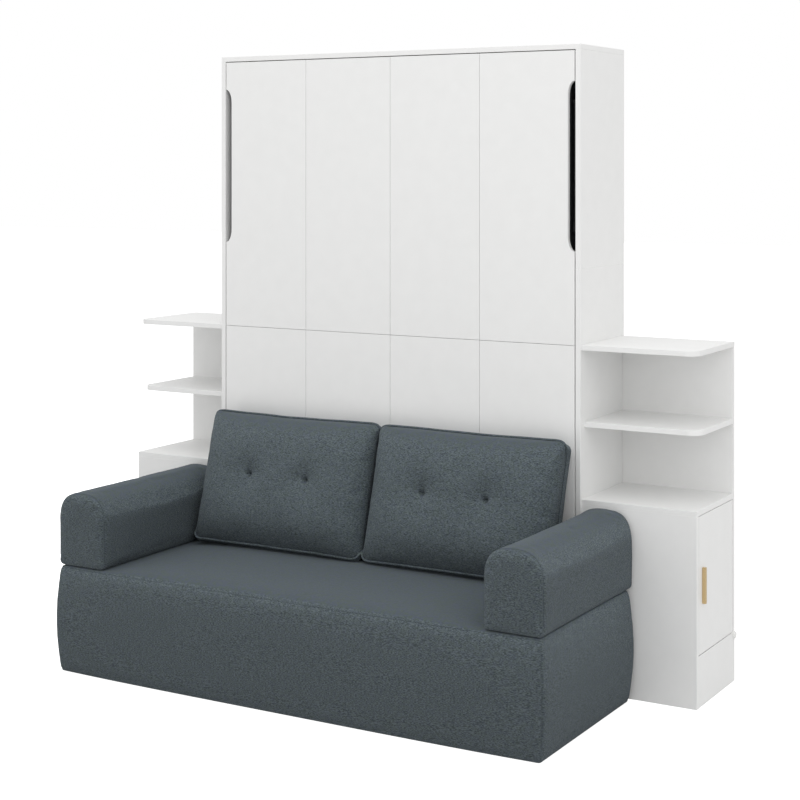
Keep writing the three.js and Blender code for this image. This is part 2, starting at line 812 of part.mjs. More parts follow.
// Carcass of one shelf unit: closed base below, two open shelves above
function addUnitCarcass(name, sign) {
  const add = (piece, geometry) => addPiece(`${piece}_${name}`, onSide(geometry, sign), finishes.whiteBoard);
  add('base_front', board([halfCabinet, unitSetback, 0], [unitOuter, baseInteriorFront, baseInteriorTop]));
  add('base_inner_side', board(
    [halfCabinet, baseInteriorFront, 0],
    [halfCabinet + boardThickness, unitBackFront, baseInteriorTop],
  ));
  add('unit_back', board(
    [halfCabinet, unitBackFront, 0],
    [unitOuter, cabinetDepth, unitTopHeight - boardThickness],
  ));
  add('kick_rail', board(
    [unitOuter - boardThickness, baseInteriorFront, 0],
    [unitOuter, unitBackFront, kickRailHeight],
  ));
  add('base_floor', board(
    [halfCabinet + boardThickness, baseInteriorFront, kickRailHeight - boardThickness],
    [unitOuter - boardThickness, unitBackFront, kickRailHeight],
  ));
  const top = board(
    [halfCabinet, unitSetback, baseInteriorTop],
    [unitOuter, unitBackFront, baseTopHeight],
  );
  const pin = barZ(doorTop - doorPinLength, baseInteriorTop + cutOverrun, doorPivotX, doorPivotY, doorPinRadius);
  add('base_top', joined(top, [pin]));
  add('shelf_middle', cornerShelf(unitSetback + middleShelfSetback, unitBackFront, middleShelfHeight));
  add('shelf_top', cornerShelf(unitSetback, cabinetDepth, unitTopHeight));
}

// Door in the unit's outer side, with a round rear edge and a blind bore for each pivot pin
function addDoor(name, sign) {
  const inner = unitOuter - boardThickness;
  const front = baseInteriorFront + doorGap;
  const outline = new THREE.Shape();
  outline.moveTo(inner, front);
  outline.lineTo(unitOuter, front);
  outline.lineTo(unitOuter, doorPivotY);
  outline.absarc(doorPivotX, doorPivotY, boardThickness / 2, 0, Math.PI);
  outline.closePath();
  const leaf = easedPrism(outline, doorBottom, doorTop, shelfCornerFacets);
  const boreRadius = doorPinRadius + doorPinClearance;
  const boreDepth = doorPinLength + doorPinClearance;
  const bottomBore = barZ(doorBottom - cutOverrun, doorBottom + boreDepth, doorPivotX, doorPivotY, boreRadius);
  const topBore = barZ(doorTop - boreDepth, doorTop + cutOverrun, doorPivotX, doorPivotY, boreRadius);
  const door = joined(leaf, [], [bottomBore, topBore]);
  addPiece(`door_${name}`, onSide(door, sign), finishes.whiteBoard);
}

// Lower pivot: a plate with a pin on the kick rail, ending in a round cap on the outer side
function addDoorPivot(name, sign) {
  const plateTop = kickRailHeight + pivotPlateThickness;
  const plate = block(
    [unitOuter - pivotPlateWidth, unitBackFront - pivotPlateWidth, kickRailHeight],
    [unitOuter + pivotCapRim, unitBackFront - seatClearance, plateTop],
  );
  const pin = barZ(
    kickRailHeight + pivotPlateThickness / 2, doorBottom + doorPinLength,
    doorPivotX, doorPivotY, doorPinRadius,
  );
  const capZ = plateTop - pivotCapRadius;
  const capY = cabinetDepth - pivotCapRadius;
  const cap = new THREE.LatheGeometry([
    new THREE.Vector2(0, 0),
    new THREE.Vector2(pivotCapRadius, 0),
    new THREE.Vector2(pivotCapRadius, pivotCapReach - pivotCapRim),
    new THREE.Vector2(pivotCapRadius - pivotCapRim, pivotCapReach),
    new THREE.Vector2(0, pivotCapReach),
  ], roundFacets);
  cap.rotateZ(-Math.PI / 2).translate(unitOuter, capY, capZ);
  const pivot = joined(plate, [pin, cap]);
  addPiece(`door_pivot_${name}`, onSide(pivot, sign), finishes.whitePlastic);
}

// Solid bar handle, screwed on from behind near the front edge of the door
function addHandle(name, sign) {
  const front = baseInteriorFront + doorGap + handleInset;
  const handle = board(
    [unitOuter, front, handleBottom],
    [unitOuter + handleReach, front + handleWidth, handleBottom + handleLength],
  );
  addPiece(`door_handle_${name}`, onSide(handle, sign), finishes.brass);
}

// Place of a grid line across the seat: closer together at the arms' inner sides and at the ends
function seatShare(share) {
  const step = Math.round(Math.abs(share) * (seatWidthShares.length - 1));
  return Math.sign(share) * seatWidthShares[step];
}

// How many times its draw-in a bellied side falls back at a point. It does so once along the middle
// of its upright seams, footDraw times in the middle of its foot and its top edge, and
// seatSeamFootDraw times where these meet.
function bellyShare(along, up, footDraw) {
  const seam = Math.abs(along) ** swellPower;
  const rise = Math.abs(up) ** seatBellyPower;
  return seam + rise * (footDraw + (seatSeamFootDraw - 1 - footDraw) * seam);
}

// Seat of the sofa: one upholstered block on the floor, crowned between the arms
function addSeat() {
  const depth = sofaReach - seatClearance;
  const crownEnd = seatWidthShares.filter((share) => share * seatWidth / 2 < armInner).pop();
  const seat = softBlock({
    size: [seatWidth, depth, seatHeight],
    cornerRadius: seatCornerRadius,
    rimRadius: seatEdgeRadius,
    drawIn: seatDrawIn,
    drawShare: {
      ends: (along, up) => bellyShare(along, up, seatEndFootDraw),
      sides: (across, up) => bellyShare(across, up, seatFrontFootDraw),
    },
    crown: seatCrown,
    crownShare: (across, along) => proudShare(
      Math.min(Math.abs(across) / crownEnd, 1), along, seatCrownPower, seatDepthPower,
    ),
    facets: seatFacets,
    flatFoot: true,
    placeShare: seatShare,
  });
  seat.translate(0, -seatClearance - depth / 2, seatHeight / 2);
  addPiece('seat_block', seat, finishes.boucle);
}

// Ring of points round an arm's section: flat foot, straight sides and a domed top
function armRing(inset) {
  const half = armWidth / 2 - inset;
  const shape = new THREE.Shape();
  const foot = armFootRadius;
  const domeRise = armHeight * armDomeShare;
  shape.moveTo(-half + foot, inset);
  shape.lineTo(half - foot, inset);
  shape.absarc(half - foot, foot + inset, foot, -Math.PI / 2, 0);
  const domeFoot = armHeight - domeRise;
  for (let step = 0; step <= armDomeFacets; step += 1) {
    const angle = step / armDomeFacets * Math.PI;
    const across = Math.sign(Math.cos(angle)) * Math.abs(Math.cos(angle)) ** (2 / armDomePower);
    const up = Math.sin(angle) ** (2 / armDomePower);
    shape.lineTo(half * across, domeFoot + (domeRise - inset) * up);
  }
  shape.lineTo(-half, foot + inset);
  shape.absarc(-half + foot, foot + inset, foot, Math.PI, Math.PI * 3 / 2);
  return shape;
}

// Points at equal steps along a closed ring.
function ringPoints(shape, count) {
  return shape.getSpacedPoints(count).slice(0, count);
}

// One arm: the section carried from front to back, with both ends rounded over
function armGeometry() {
  const depth = sofaReach - armSetback - seatClearance;
  const stations = [];
  for (let step = 0; step <= armEndFacets; step += 1) {
    const angle = step / armEndFacets * Math.PI / 2;
    stations.push({
      along: armEndRadius * (1 - Math.cos(angle)),
      inset: armEndRadius * (1 - Math.sin(angle)),
    });
  }
  const back = stations.map(({ along, inset }) => ({ along: depth - along, inset })).reverse();
  const rings = [...stations, ...back];
  const positions = [];
  for (const { along, inset } of rings) {
    for (const point of ringPoints(armRing(inset), armRingFacets)) {
      positions.push(point.x, along, point.y);
    }
  }
  const middle = armHeight / 2;
  const frontCentre = positions.push(0, 0, middle) / 3 - 1;
  const backCentre = positions.push(0, depth, middle) / 3 - 1;
  const triangles = [];
  const lastRing = (rings.length - 1) * armRingFacets;
  for (let i = 0; i < armRingFacets; i += 1) {
    const next = (i + 1) % armRingFacets;
    triangles.push(frontCentre, i, next, backCentre, lastRing + next, lastRing + i);
    for (let ring = 0; ring < lastRing; ring += armRingFacets) {
      const a = ring + i;
      const b = ring + next;
      const c = b + armRingFacets;
      const d = a + armRingFacets;
      triangles.push(a, c, b, a, d, c);
    }
  }
  const geometry = new THREE.BufferGeometry();
  geometry.setAttribute('position', new THREE.Float32BufferAttribute(positions, 3));
  geometry.setIndex(triangles);
  geometry.computeVertexNormals();
  return geometry;
}

// Arms: separate blocks that lift off the flat ends of the seat
function addArms() {
  for (const { name, sign } of sides) {
    const arm = armGeometry();
    arm.translate(armInner + armWidth / 2, armSetback - sofaReach, seatHeight + seatClearance);
    addPiece(`arm_${name}`, onSide(arm, sign), finishes.boucle);
  }
}

// A back cushion before it leans: crowned faces, drawn-in sides, two sewn tufts and a level foot
function cushionGeometry() {
  const box = new THREE.BoxGeometry(2, 2, 2, ...cushionFacets);
  box.deleteAttribute('normal');
  box.deleteAttribute('uv');
  const geometry = mergeVertices(box);
  const halfWidth = cushionWidth / 2;
  const halfHeight = cushionHeight / 2;
  const halfEdge = cushionEdgeThickness / 2;
  const coreX = halfWidth - cushionCornerRadius;
  const coreZ = halfHeight - cushionCornerRadius;
  const places = geometry.attributes.position;
  for (let i = 0; i < places.count; i += 1) {
    const across = places.getX(i);
    const through = places.getY(i);
    const up = places.getZ(i);
    const flat = new THREE.Vector2(across * halfWidth, up * halfHeight);
    const inner = new THREE.Vector2(
      THREE.MathUtils.clamp(flat.x, -coreX, coreX), THREE.MathUtils.clamp(flat.y, -coreZ, coreZ),
    );
    const outward = flat.clone().sub(inner);
    const reach = Math.max(Math.abs(outward.x), Math.abs(outward.y));
    if (reach > 0) {
      flat.copy(inner).addScaledVector(outward.normalize(), reach);
    }
    flat.x -= across * cushionPullIn * (1 - up * up);
    flat.y -= Math.max(up, 0) * cushionPullIn * (1 - across * across);
    const swell = Math.sqrt(proudShare(across, up, swellPower));
    const crown = through < 0 ? cushionFrontCrown : cushionBackCrown;
    let y = through * (halfEdge + crown * swell);
    if (through < 0) {
      for (const side of [-1, 1]) {
        const distance = Math.hypot(flat.x - side * tuftSpacing / 2, flat.y - tuftRise);
        y -= through * tuftDepth * Math.exp(-((distance / tuftRadius) ** 2));
      }
    }
    const footShare = ((1 - up) / 2) ** cushionFootPower;
    const z = flat.y - Math.tan(cushionTilt) * halfEdge * (1 - through) * footShare;
    places.setXYZ(i, flat.x, y, z);
  }
  return geometry;
}

// Back cushions: they lean on the bed's face and stand on the crown of the seat
function addCushions() {
  for (const { name, sign } of sides) {
    const cushion = cushionGeometry().rotateX(-cushionTilt);
    cushion.computeBoundingBox();
    const { min, max } = cushion.boundingBox;
    cushion.translate(
      sign * (cushionWidth + cushionGap) / 2 + cushionShift,
      -seatClearance - max.y,
      seatHeight + seatCrown + seatClearance - min.z,
    );
    addPiece(`cushion_${name}`, cushion, finishes.boucle);
  }
}

addCabinet();
addPivotBrackets();
addFacePanels();
addSideRails();
addCrossRails();
addSlats();
addMattress();
addSupportLegs();
addStruts();
addStrutAnchors();
for (const { name, sign } of sides) {
  addUnitCarcass(name, sign);
  addDoor(name, sign);
  addDoorPivot(name, sign);
  addHandle(name, sign);
}
addSeat();
addArms();
addCushions();

// The origin stands on the floor under the middle of the whole object.
assembly.position.y = (sofaReach - cabinetDepth) / 2;
const wallBed = new THREE.Group();
wallBed.add(assembly);

export default wallBed;
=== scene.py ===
"""Wall bed with a sofa in front of it and a shelf unit on each side.

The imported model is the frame: metres, +X to the right, +Y into the wall and +Z up.
"""

import logging
import math
from collections.abc import Callable, Iterable
from dataclasses import dataclass
from enum import Enum

import bpy
import numpy as np
from mathutils import Matrix, Vector, noise
from mathutils.bvhtree import BVHTree


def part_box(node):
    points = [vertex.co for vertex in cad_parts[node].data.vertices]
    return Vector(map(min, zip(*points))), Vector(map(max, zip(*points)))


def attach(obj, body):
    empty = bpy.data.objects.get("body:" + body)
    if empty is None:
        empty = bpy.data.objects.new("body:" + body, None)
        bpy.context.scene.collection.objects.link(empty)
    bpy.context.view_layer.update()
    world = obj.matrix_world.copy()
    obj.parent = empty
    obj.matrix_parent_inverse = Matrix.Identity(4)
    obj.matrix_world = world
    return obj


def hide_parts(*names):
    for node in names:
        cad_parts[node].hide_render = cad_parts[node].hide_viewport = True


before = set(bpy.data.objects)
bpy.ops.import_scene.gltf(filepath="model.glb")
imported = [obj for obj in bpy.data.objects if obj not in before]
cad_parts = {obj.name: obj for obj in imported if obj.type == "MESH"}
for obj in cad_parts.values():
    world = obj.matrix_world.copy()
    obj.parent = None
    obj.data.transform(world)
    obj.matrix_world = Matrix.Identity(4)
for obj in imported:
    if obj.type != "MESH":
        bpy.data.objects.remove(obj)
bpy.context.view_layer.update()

LOG = logging.getLogger("wall_bed")
MM = 0.001
TINY = 1e-9
WHITE = (1.0, 1.0, 1.0, 1.0)

Face = tuple[int, ...]
Shape = tuple[np.ndarray, list[Face]]
# One swell of uneven cloth: its depth, its length and its step of the noise's seed.
Swell = tuple[float, float, float]


class Side(Enum):
    """The two sides of the object, as their names and signs along X."""

    LEFT = -1
    RIGHT = 1

    @property
    def word(self) -> str:
        """The side's name at the end of a piece's name."""
        return self.name.lower()

    def pick(self, left: float, right: float) -> float:
        """The value that belongs to this side."""
        return left if self is Side.LEFT else right


class Slot(Enum):
    """The record's material slots."""

    BOARD = "white_board"
    STEEL = "black_steel"
    CHROME = "chrome_rod"
    BIRCH = "birch_slat"
    BOUCLE = "boucle_fabric"
    TICKING = "mattress_ticking"
    WEBBING = "strap_webbing"
    BRASS = "brass_handle"
    PLASTIC = "white_plastic"


# Camera, floor and light


@dataclass(frozen=True)
class PhotoView:
    """The camera at the photograph's place, level, with its lens raised as in the photograph."""

    focal_px: float = 1699.1
    yaw_degrees: float = 30.158
    place: tuple[float, float, float] = (3.0560, -5.0206, 1.7570)
    horizon_row_px: float = 163.4
    frame_px: float = 800.0
    sensor_mm: float = 36.0
    far_end: float = 100.0

    def set_up(self) -> None:
        """Makes the camera and hands it to the scene."""
        lens = bpy.data.cameras.new("photo_camera")
        lens.sensor_width = self.sensor_mm
        lens.lens = self.focal_px / self.frame_px * self.sensor_mm
        lens.shift_y = (self.horizon_row_px - self.frame_px / 2) / self.frame_px
        lens.clip_end = self.far_end
        camera = bpy.data.objects.new("photo_camera", lens)
        camera.location = self.place
        camera.rotation_euler = (math.pi / 2, 0.0, math.radians(self.yaw_degrees))
        bpy.context.scene.collection.objects.link(camera)
        bpy.context.scene.camera = camera


@dataclass(frozen=True)
class SoftBox:
    """One wide, square studio lamp."""

    name: str
    place: tuple[float, float, float]
    watts: float = 71.0
    aim: tuple[float, float, float] = (0.0, 0.0, 0.8)
    width: float = 5.0

    def set_up(self) -> None:
        """Hangs the lamp in its place and points it."""
        lamp = bpy.data.lights.new(self.name, "AREA")
        lamp.shape = "SQUARE"
        lamp.size = self.width
        lamp.energy = self.watts
        holder = bpy.data.objects.new(self.name, lamp)
        holder.location = self.place
        toward = Vector(self.aim) - Vector(self.place)
        holder.rotation_euler = toward.to_track_quat("-Z", "Y").to_euler()
        bpy.context.scene.collection.objects.link(holder)


@dataclass(frozen=True)
class Studio:
    """A pale floor under an even white sky, with one soft lamp on the right and one overhead."""

    floor_reach: float = 30.0
    sky_strength: float = 0.83
    lamps: tuple[SoftBox, ...] = (
        SoftBox("right_softbox", (4.6, -4.2, 4.4)),
        SoftBox("overhead_softbox", (0.0, -1.5, 6.0)),
    )

    def set_up(self) -> None:
        """Makes the floor, the sky and the lamps."""
        bpy.context.scene.view_settings.view_transform = "Standard"
        reach = self.floor_reach
        corners = [(-reach, -reach, 0.0), (reach, -reach, 0.0), (reach, reach, 0.0), (-reach, reach, 0.0)]
        mesh_piece("studio_floor", corners, [(0, 1, 2, 3)], StudioPaper())
        world = bpy.data.worlds.new("studio_sky")
        world.use_nodes = True
        tree = world.node_tree
        tree.nodes.clear()
        path = add_node(tree, "LightPath")
        lit = add_node(tree, "Background", {"Color": WHITE, "Strength": self.sky_strength})
        seen = add_node(tree, "Background", {"Color": WHITE, "Strength": 1.0})
        mixed = add_node(tree, "MixShader", {
            0: path.outputs["Is Camera Ray"], 1: lit.outputs[0], 2: seen.outputs[0],
        })
        add_node(tree, "OutputWorld", {"Surface": mixed.outputs[0]})
        bpy.context.scene.world = world
        for lamp in self.lamps:
            lamp.set_up()


# Finishes


def linear(colour: str) -> tuple[float, float, float, float]:
    """Turns an sRGB hex colour into linear light.

    Args:
        colour: Six hex digits, such as "F2F2F0".

    Returns:
        Red, green, blue and a full alpha.
    """
    shares = [int(colour[start:start + 2], 16) / 255 for start in (0, 2, 4)]
    bent = [share / 12.92 if share <= 0.04045 else ((share + 0.055) / 1.055) ** 2.4 for share in shares]
    return (bent[0], bent[1], bent[2], 1.0)


def plug(tree: bpy.types.NodeTree, node: bpy.types.Node, inputs: dict) -> None:
    """Sets or links a node's inputs.

    Args:
        tree: The node tree that the node is in.
        node: The node.
        inputs: A value, or another node's output, for each input by name or number.
    """
    for key, value in inputs.items():
        if isinstance(value, bpy.types.NodeSocket):
            tree.links.new(value, node.inputs[key])
        else:
            node.inputs[key].default_value = value


def add_node(
    tree: bpy.types.NodeTree, kind: str, inputs: dict | None = None, **settings: object,
) -> bpy.types.Node:
    """Adds one node with its settings and links.

    Args:
        tree: The node tree that the node goes into.
        kind: Blender's name for the node's type, after "ShaderNode".
        inputs: A value, or another node's output, for each input by name or number.
        **settings: The node's own settings.

    Returns:
        The new node.
    """
    node = tree.nodes.new(f"ShaderNode{kind}")
    for key, value in settings.items():
        setattr(node, key, value)
    plug(tree, node, inputs or {})
    return node


@dataclass(frozen=True)
class Coat:
    """A material's nodes while a finish lays its pattern on them."""

    tree: bpy.types.NodeTree
    shader: bpy.types.Node

    def add(self, kind: str, inputs: dict | None = None, **settings: object) -> bpy.types.Node:
        """Adds one node to the material, as add_node does."""
        return add_node(self.tree, kind, inputs, **settings)

    def put(self, inputs: dict) -> None:
        """Sets or links the shader's inputs."""
        plug(self.tree, self.shader, inputs)

    def cells(self, *size_mm: float) -> bpy.types.NodeSocket:
        """Object coordinates, counted in cells of a pattern.

        Args:
            *size_mm: Size of a cell in millimetres, once for all axes or along X, Y and Z.

        Returns:
            The scaled coordinates.
        """
        sizes = size_mm if len(size_mm) == 3 else size_mm * 3
        place = self.add("TexCoord")
        scale = tuple(1.0 / (size * MM) for size in sizes)
        return self.add("Mapping", {"Vector": place.outputs["Object"], "Scale": scale}).outputs[0]

    def tones(
        self, share: bpy.types.NodeSocket, low: str, high: str, start: float = 0.3, end: float = 0.7,
    ) -> bpy.types.NodeSocket:
        """Blends two colours by a pattern.

        Args:
            share: The pattern that chooses between the colours.
            low: Hex colour where the pattern is low.
            high: Hex colour where the pattern is high.
            start: Pattern value that gives the low colour.
            end: Pattern value that gives the high colour.

        Returns:
            The blended colour.
        """
        ramp = self.add("ValToRGB", {"Fac": share})
        for stop, place, colour in zip(ramp.color_ramp.elements, (start, end), (low, high)):
            stop.position = place
            stop.color = linear(colour)
        return ramp.outputs[0]

    def shine(self, share: bpy.types.NodeSocket, low: float, high: float) -> None:
        """Lets the roughness run between two values with a pattern."""
        gloss = self.add("MapRange", {"Value": share, "To Min": low, "To Max": high})
        self.put({"Roughness": gloss.outputs[0]})

    def relief(
        self, height: bpy.types.NodeSocket, strength: float | bpy.types.NodeSocket, depth_mm: float,
    ) -> None:
        """Drives the shader's normal from a height pattern.

        Args:
            height: The pattern, from 0 to 1.
            strength: How much of the relief shows.
            depth_mm: Depth of the full relief in millimetres.
        """
        bump = self.add("Bump", {"Height": height, "Strength": strength, "Distance": depth_mm * MM})
        self.put({"Normal": bump.outputs[0]})


@dataclass(frozen=True)
class Finish:
    """One surface finish: what it is made of and how it was made."""

    name: str = "finish"
    colour: str = "808080"
    roughness: float = 0.5
    metallic: float = 0.0

    def material(self) -> bpy.types.Material:
        """The finish as a material, made the first time it is asked for.

        Returns:
            The material.
        """
        found = bpy.data.materials.get(self.name)
        if found is not None:
            return found
        material = bpy.data.materials.new(self.name)
        material.use_nodes = True
        tree = material.node_tree
        tree.nodes.clear()
        shader = add_node(tree, "BsdfPrincipled", {
            "Base Color": linear(self.colour), "Roughness": self.roughness, "Metallic": self.metallic,
        })
        add_node(tree, "OutputMaterial", {"Surface": shader.outputs[0]})
        self.lay(Coat(tree, shader))
        return material

    def lay(self, coat: Coat) -> None:
        """Adds the finish's own detail to its material's nodes."""


@dataclass(frozen=True)
class StudioPaper(Finish):
    """Matt white background paper, lit from behind so that the camera sees it bright and even."""

    name: str = "matt_background_paper"
    colour: str = "E3E3E3"
    roughness: float = 0.9
    glow: float = 0.85

    def lay(self, coat: Coat) -> None:
        """Adds the glow of the paper and its faint fibre.

        Args:
            coat: The material's nodes.
        """
        path = coat.add("LightPath")
        seen = coat.add("Math", {0: path.outputs["Is Camera Ray"], 1: self.glow}, operation="MULTIPLY")
        coat.put({"Emission Color": WHITE, "Emission Strength": seen.outputs[0]})
        fibre = coat.add("TexNoise", {"Vector": coat.cells(3.0)})
        coat.relief(fibre.outputs["Fac"], 0.1, 0.05)


@dataclass(frozen=True)
class MelamineBoard(Finish):
    """White melamine paper pressed on chipboard: its fine pearl grain breaks the gloss up."""

    name: str = "white_melamine_pressed_pearl"
    colour: str = "EFEFEE"
    roughness: float = 0.42
    roughness_swing: float = 0.02

    def lay(self, coat: Coat) -> None:
        """Adds the pearl grain and slow changes of tone and gloss.

        Args:
            coat: The material's nodes.
        """
        pearl = coat.add("TexNoise", {"Vector": coat.cells(1.6), "Detail": 2.0})
        slow = coat.add("TexNoise", {"Vector": coat.cells(260.0), "Detail": 3.0})
        coat.put({"Base Color": coat.tones(slow.outputs["Fac"], "EEEEED", "F0F0EF")})
        coat.shine(
            slow.outputs["Fac"], self.roughness - self.roughness_swing, self.roughness + self.roughness_swing,
        )
        coat.relief(pearl.outputs["Fac"], 0.25, 0.06)


@dataclass(frozen=True)
class PowderCoat(Finish):
    """Black powder coat baked on steel: soft orange peel with rounded, dull highlights."""

    name: str = "black_powder_coated_steel"
    colour: str = "1B1C1E"
    roughness: float = 0.46

    def lay(self, coat: Coat) -> None:
        """Adds the orange peel and dusty lighter specks.

        Args:
            coat: The material's nodes.
        """
        peel = coat.add("TexNoise", {"Vector": coat.cells(1.8), "Detail": 1.0})
        dust = coat.add("TexNoise", {"Vector": coat.cells(24.0), "Detail": 5.0})
        coat.put({"Base Color": coat.tones(dust.outputs["Fac"], "18191B", "212225", 0.35, 0.75)})
        coat.relief(peel.outputs["Fac"], 0.35, 0.12)


@dataclass(frozen=True)
class HardChrome(Finish):
    """Hard chrome ground and polished round the rod: bright, with hair-fine rings."""

    name: str = "hard_chrome_ground_rod"
    colour: str = "D2D5DA"
    roughness: float = 0.1
    metallic: float = 1.0

    def lay(self, coat: Coat) -> None:
        """Adds grinding rings, drawn 0.5 mm apart so that a close view shows them.

        Args:
            coat: The material's nodes.
        """
        rings = coat.add("TexNoise", {"Vector": coat.cells(40.0, 40.0, 0.5), "Detail": 1.0})
        coat.shine(rings.outputs["Fac"], 0.06, 0.17)


@dataclass(frozen=True)
class BirchPlywood(Finish):
    """Lacquered birch plywood slats with rotary-cut grain, dark glue lines and woven ribbons."""

    name: str = "birch_plywood_clear_lacquer"
    colour: str = "DCC49C"
    roughness: float = 0.44
    half_ply: float = 0.7 * MM
    glue_blur: float = 0.25 * MM
    face_share: float = 0.6
    ribbon_offset: float = 0.400
    ribbon_half_width: float = 0.0141
    ribbon_front: float = 0.2280

    def lay(self, coat: Coat) -> None:
        """Adds grain along the slats, the plies on their edges and the ribbons across them.

        Args:
            coat: The material's nodes.
        """
        grain = coat.add("TexNoise", {"Vector": coat.cells(90.0, 6.0, 5.0), "Detail": 6.0, "Distortion": 0.4})
        face = coat.tones(grain.outputs["Fac"], "C9A877", "E3CDA6", 0.32, 0.66)
        place = coat.add("TexCoord")
        apart = coat.add("SeparateXYZ", {0: place.outputs["Object"]})
        plies = coat.add("Math", {0: apart.outputs["Y"], 1: self.half_ply}, operation="PINGPONG")
        glue = coat.add("MapRange", {"Value": plies.outputs[0], "From Min": 0.0, "From Max": self.glue_blur})
        edge = coat.tones(glue.outputs[0], "8A6743", "DDC298", 0.2, 0.8)
        facing = coat.add("SeparateXYZ", {0: place.outputs["Normal"]})
        side = coat.add("Math", {0: facing.outputs["Y"]}, operation="ABSOLUTE")
        on_face = coat.add("Math", {0: side.outputs[0], 1: self.face_share}, operation="GREATER_THAN")
        wood = coat.add("Mix", {"Factor": on_face.outputs[0], 6: edge, 7: face}, data_type="RGBA")
        weave = coat.add("TexWave", {
            "Vector": coat.cells(8.0), "Scale": 1.0, "Distortion": 0.5,
        }, bands_direction="DIAGONAL")
        ribbon = coat.tones(weave.outputs["Fac"], "D8D5CC", "EFEDE6")
        reach = coat.add("Math", {0: apart.outputs["X"]}, operation="ABSOLUTE")
        across = coat.add("Math", {
            0: reach.outputs[0], 1: self.ribbon_offset, 2: self.ribbon_half_width,
        }, operation="COMPARE")
        behind = coat.add("Math", {0: apart.outputs["Y"], 1: self.ribbon_front}, operation="GREATER_THAN")
        both = coat.add("Math", {0: across.outputs[0], 1: behind.outputs[0]}, operation="MULTIPLY")
        colour = coat.add("Mix", {"Factor": both.outputs[0], 6: wood.outputs[2], 7: ribbon}, data_type="RGBA")
        coat.put({"Base Color": colour.outputs[2]})
        coat.relief(grain.outputs["Fac"], 0.2, 0.1)


@dataclass(frozen=True)
class BoucleFabric(Finish):
    """Slate blue boucle woven with curled slub yarn: rows of short nubs, with painted shade between them and
    painted light on their tops.
    """

    name: str = "slate_boucle_woven"
    colour: str = "485156"
    roughness: float = 0.92
    nub_length_mm: float = 32.0
    nub_height_mm: float = 5.4
    # Painted light by facing: the colour is darkened on upright faces and lightened on level ones.
    painted_side_shade: float = 0.88
    painted_top_light: float = 1.24

    def lay(self, coat: Coat) -> None:
        """Adds the nubs, the fibre on them, slow changes of tone across the cloth and painted light and shade
        by facing.

        Args:
            coat: The material's nodes.
        """
        # The yarn's loops are about 2 mm across; they are drawn larger so that they show.
        nubs = coat.add("TexNoise", {
            "Vector": coat.cells(self.nub_length_mm, self.nub_length_mm, self.nub_height_mm),
            "Detail": 1.0, "Roughness": 0.5, "Distortion": 0.3,
        })
        fibre = coat.add("TexNoise", {"Vector": coat.cells(2.4, 2.4, 1.4), "Detail": 3.0, "Roughness": 0.7})
        height = coat.add("Mix", {"Factor": 0.15, 2: nubs.outputs["Fac"], 3: fibre.outputs["Fac"]})
        slow = coat.add("TexNoise", {"Vector": coat.cells(70.0, 70.0, 45.0), "Detail": 2.0})
        # The nub pattern's low parts are painted dark and its high parts light: painted shade in the gaps
        # between the nubs and painted light on their tops.
        painted_nub_light_and_shade = coat.tones(height.outputs[0], "2D3538", "727D81", 0.43, 0.59)
        cast = coat.tones(slow.outputs["Fac"], "414A48", "414853", 0.4, 0.6)
        # Painted light and shade by facing: upright faces get more of the painted gap shade and a darker
        # colour, level faces less of it and a lighter colour, as if lit from above.
        facing = coat.add("NewGeometry")
        level = coat.add("SeparateXYZ", {0: facing.outputs["Normal"]}).outputs["Z"]
        turned = {"Value": level, "From Min": 0.5, "From Max": 0.9}
        even = coat.add("MapRange", {**turned, "To Min": 0.45, "To Max": 0.95})
        standing = coat.add("MapRange", {**turned, "To Min": 0.85, "To Max": 0.35})
        colour = coat.add("Mix", {"Factor": even.outputs[0], 6: painted_nub_light_and_shade, 7: cast}, data_type="RGBA")
        # Painted shade on upright faces and painted light on level faces, scaling the colour.
        painted_facing_light = coat.add("MapRange", {
            "Value": level, "From Min": 0.0, "From Max": 0.3,
            "To Min": self.painted_side_shade, "To Max": self.painted_top_light,
        })
        painted_light_colour = coat.add("HueSaturation", {"Color": colour.outputs[2], "Value": painted_facing_light.outputs[0]})
        coat.put({
            "Base Color": painted_light_colour.outputs[0], "Specular IOR Level": 0.25,
            "Sheen Weight": 0.15, "Sheen Roughness": 0.6, "Sheen Tint": linear("C4CED6"),
        })
        coat.relief(height.outputs[0], standing.outputs[0], 3.0)


@dataclass(frozen=True)
class ThreadAndSeamShade(Finish):
    """Charcoal thread for tuft stitches, also laid in seams as a thin dark cord of painted shade between two
    panels.
    """

    name: str = "charcoal_polyester_thread"
    colour: str = "2A3238"
    roughness: float = 0.85

    def lay(self, coat: Coat) -> None:
        """Adds the thread's twist.

        Args:
            coat: The material's nodes.
        """
        twist = coat.add("TexNoise", {"Vector": coat.cells(1.2)})
        coat.relief(twist.outputs["Fac"], 0.5, 0.3)


@dataclass(frozen=True)
class KnittedTicking(Finish):
    """Off-white knitted polyester ticking: tiny rows of stitches, soft and matt."""

    name: str = "off_white_knitted_ticking"
    colour: str = "E9E6DF"
    roughness: float = 0.86

    def lay(self, coat: Coat) -> None:
        """Adds knitted rows, drawn 3 mm apart so that they show.

        Args:
            coat: The material's nodes.
        """
        rows = coat.add("TexWave", {
            "Vector": coat.cells(9.0), "Scale": 0.5, "Distortion": 1.5, "Detail": 2.0,
        }, bands_direction="Z")
        loops = coat.add("TexNoise", {"Vector": coat.cells(3.0)})
        height = coat.add("Mix", {"Factor": 0.5, 2: rows.outputs["Fac"], 3: loops.outputs["Fac"]})
        coat.put({
            "Base Color": coat.tones(height.outputs[0], "DDD9D0", "F0EEE8", 0.25, 0.75), "Sheen Weight": 0.2,
        })
        coat.relief(height.outputs[0], 0.5, 0.5)


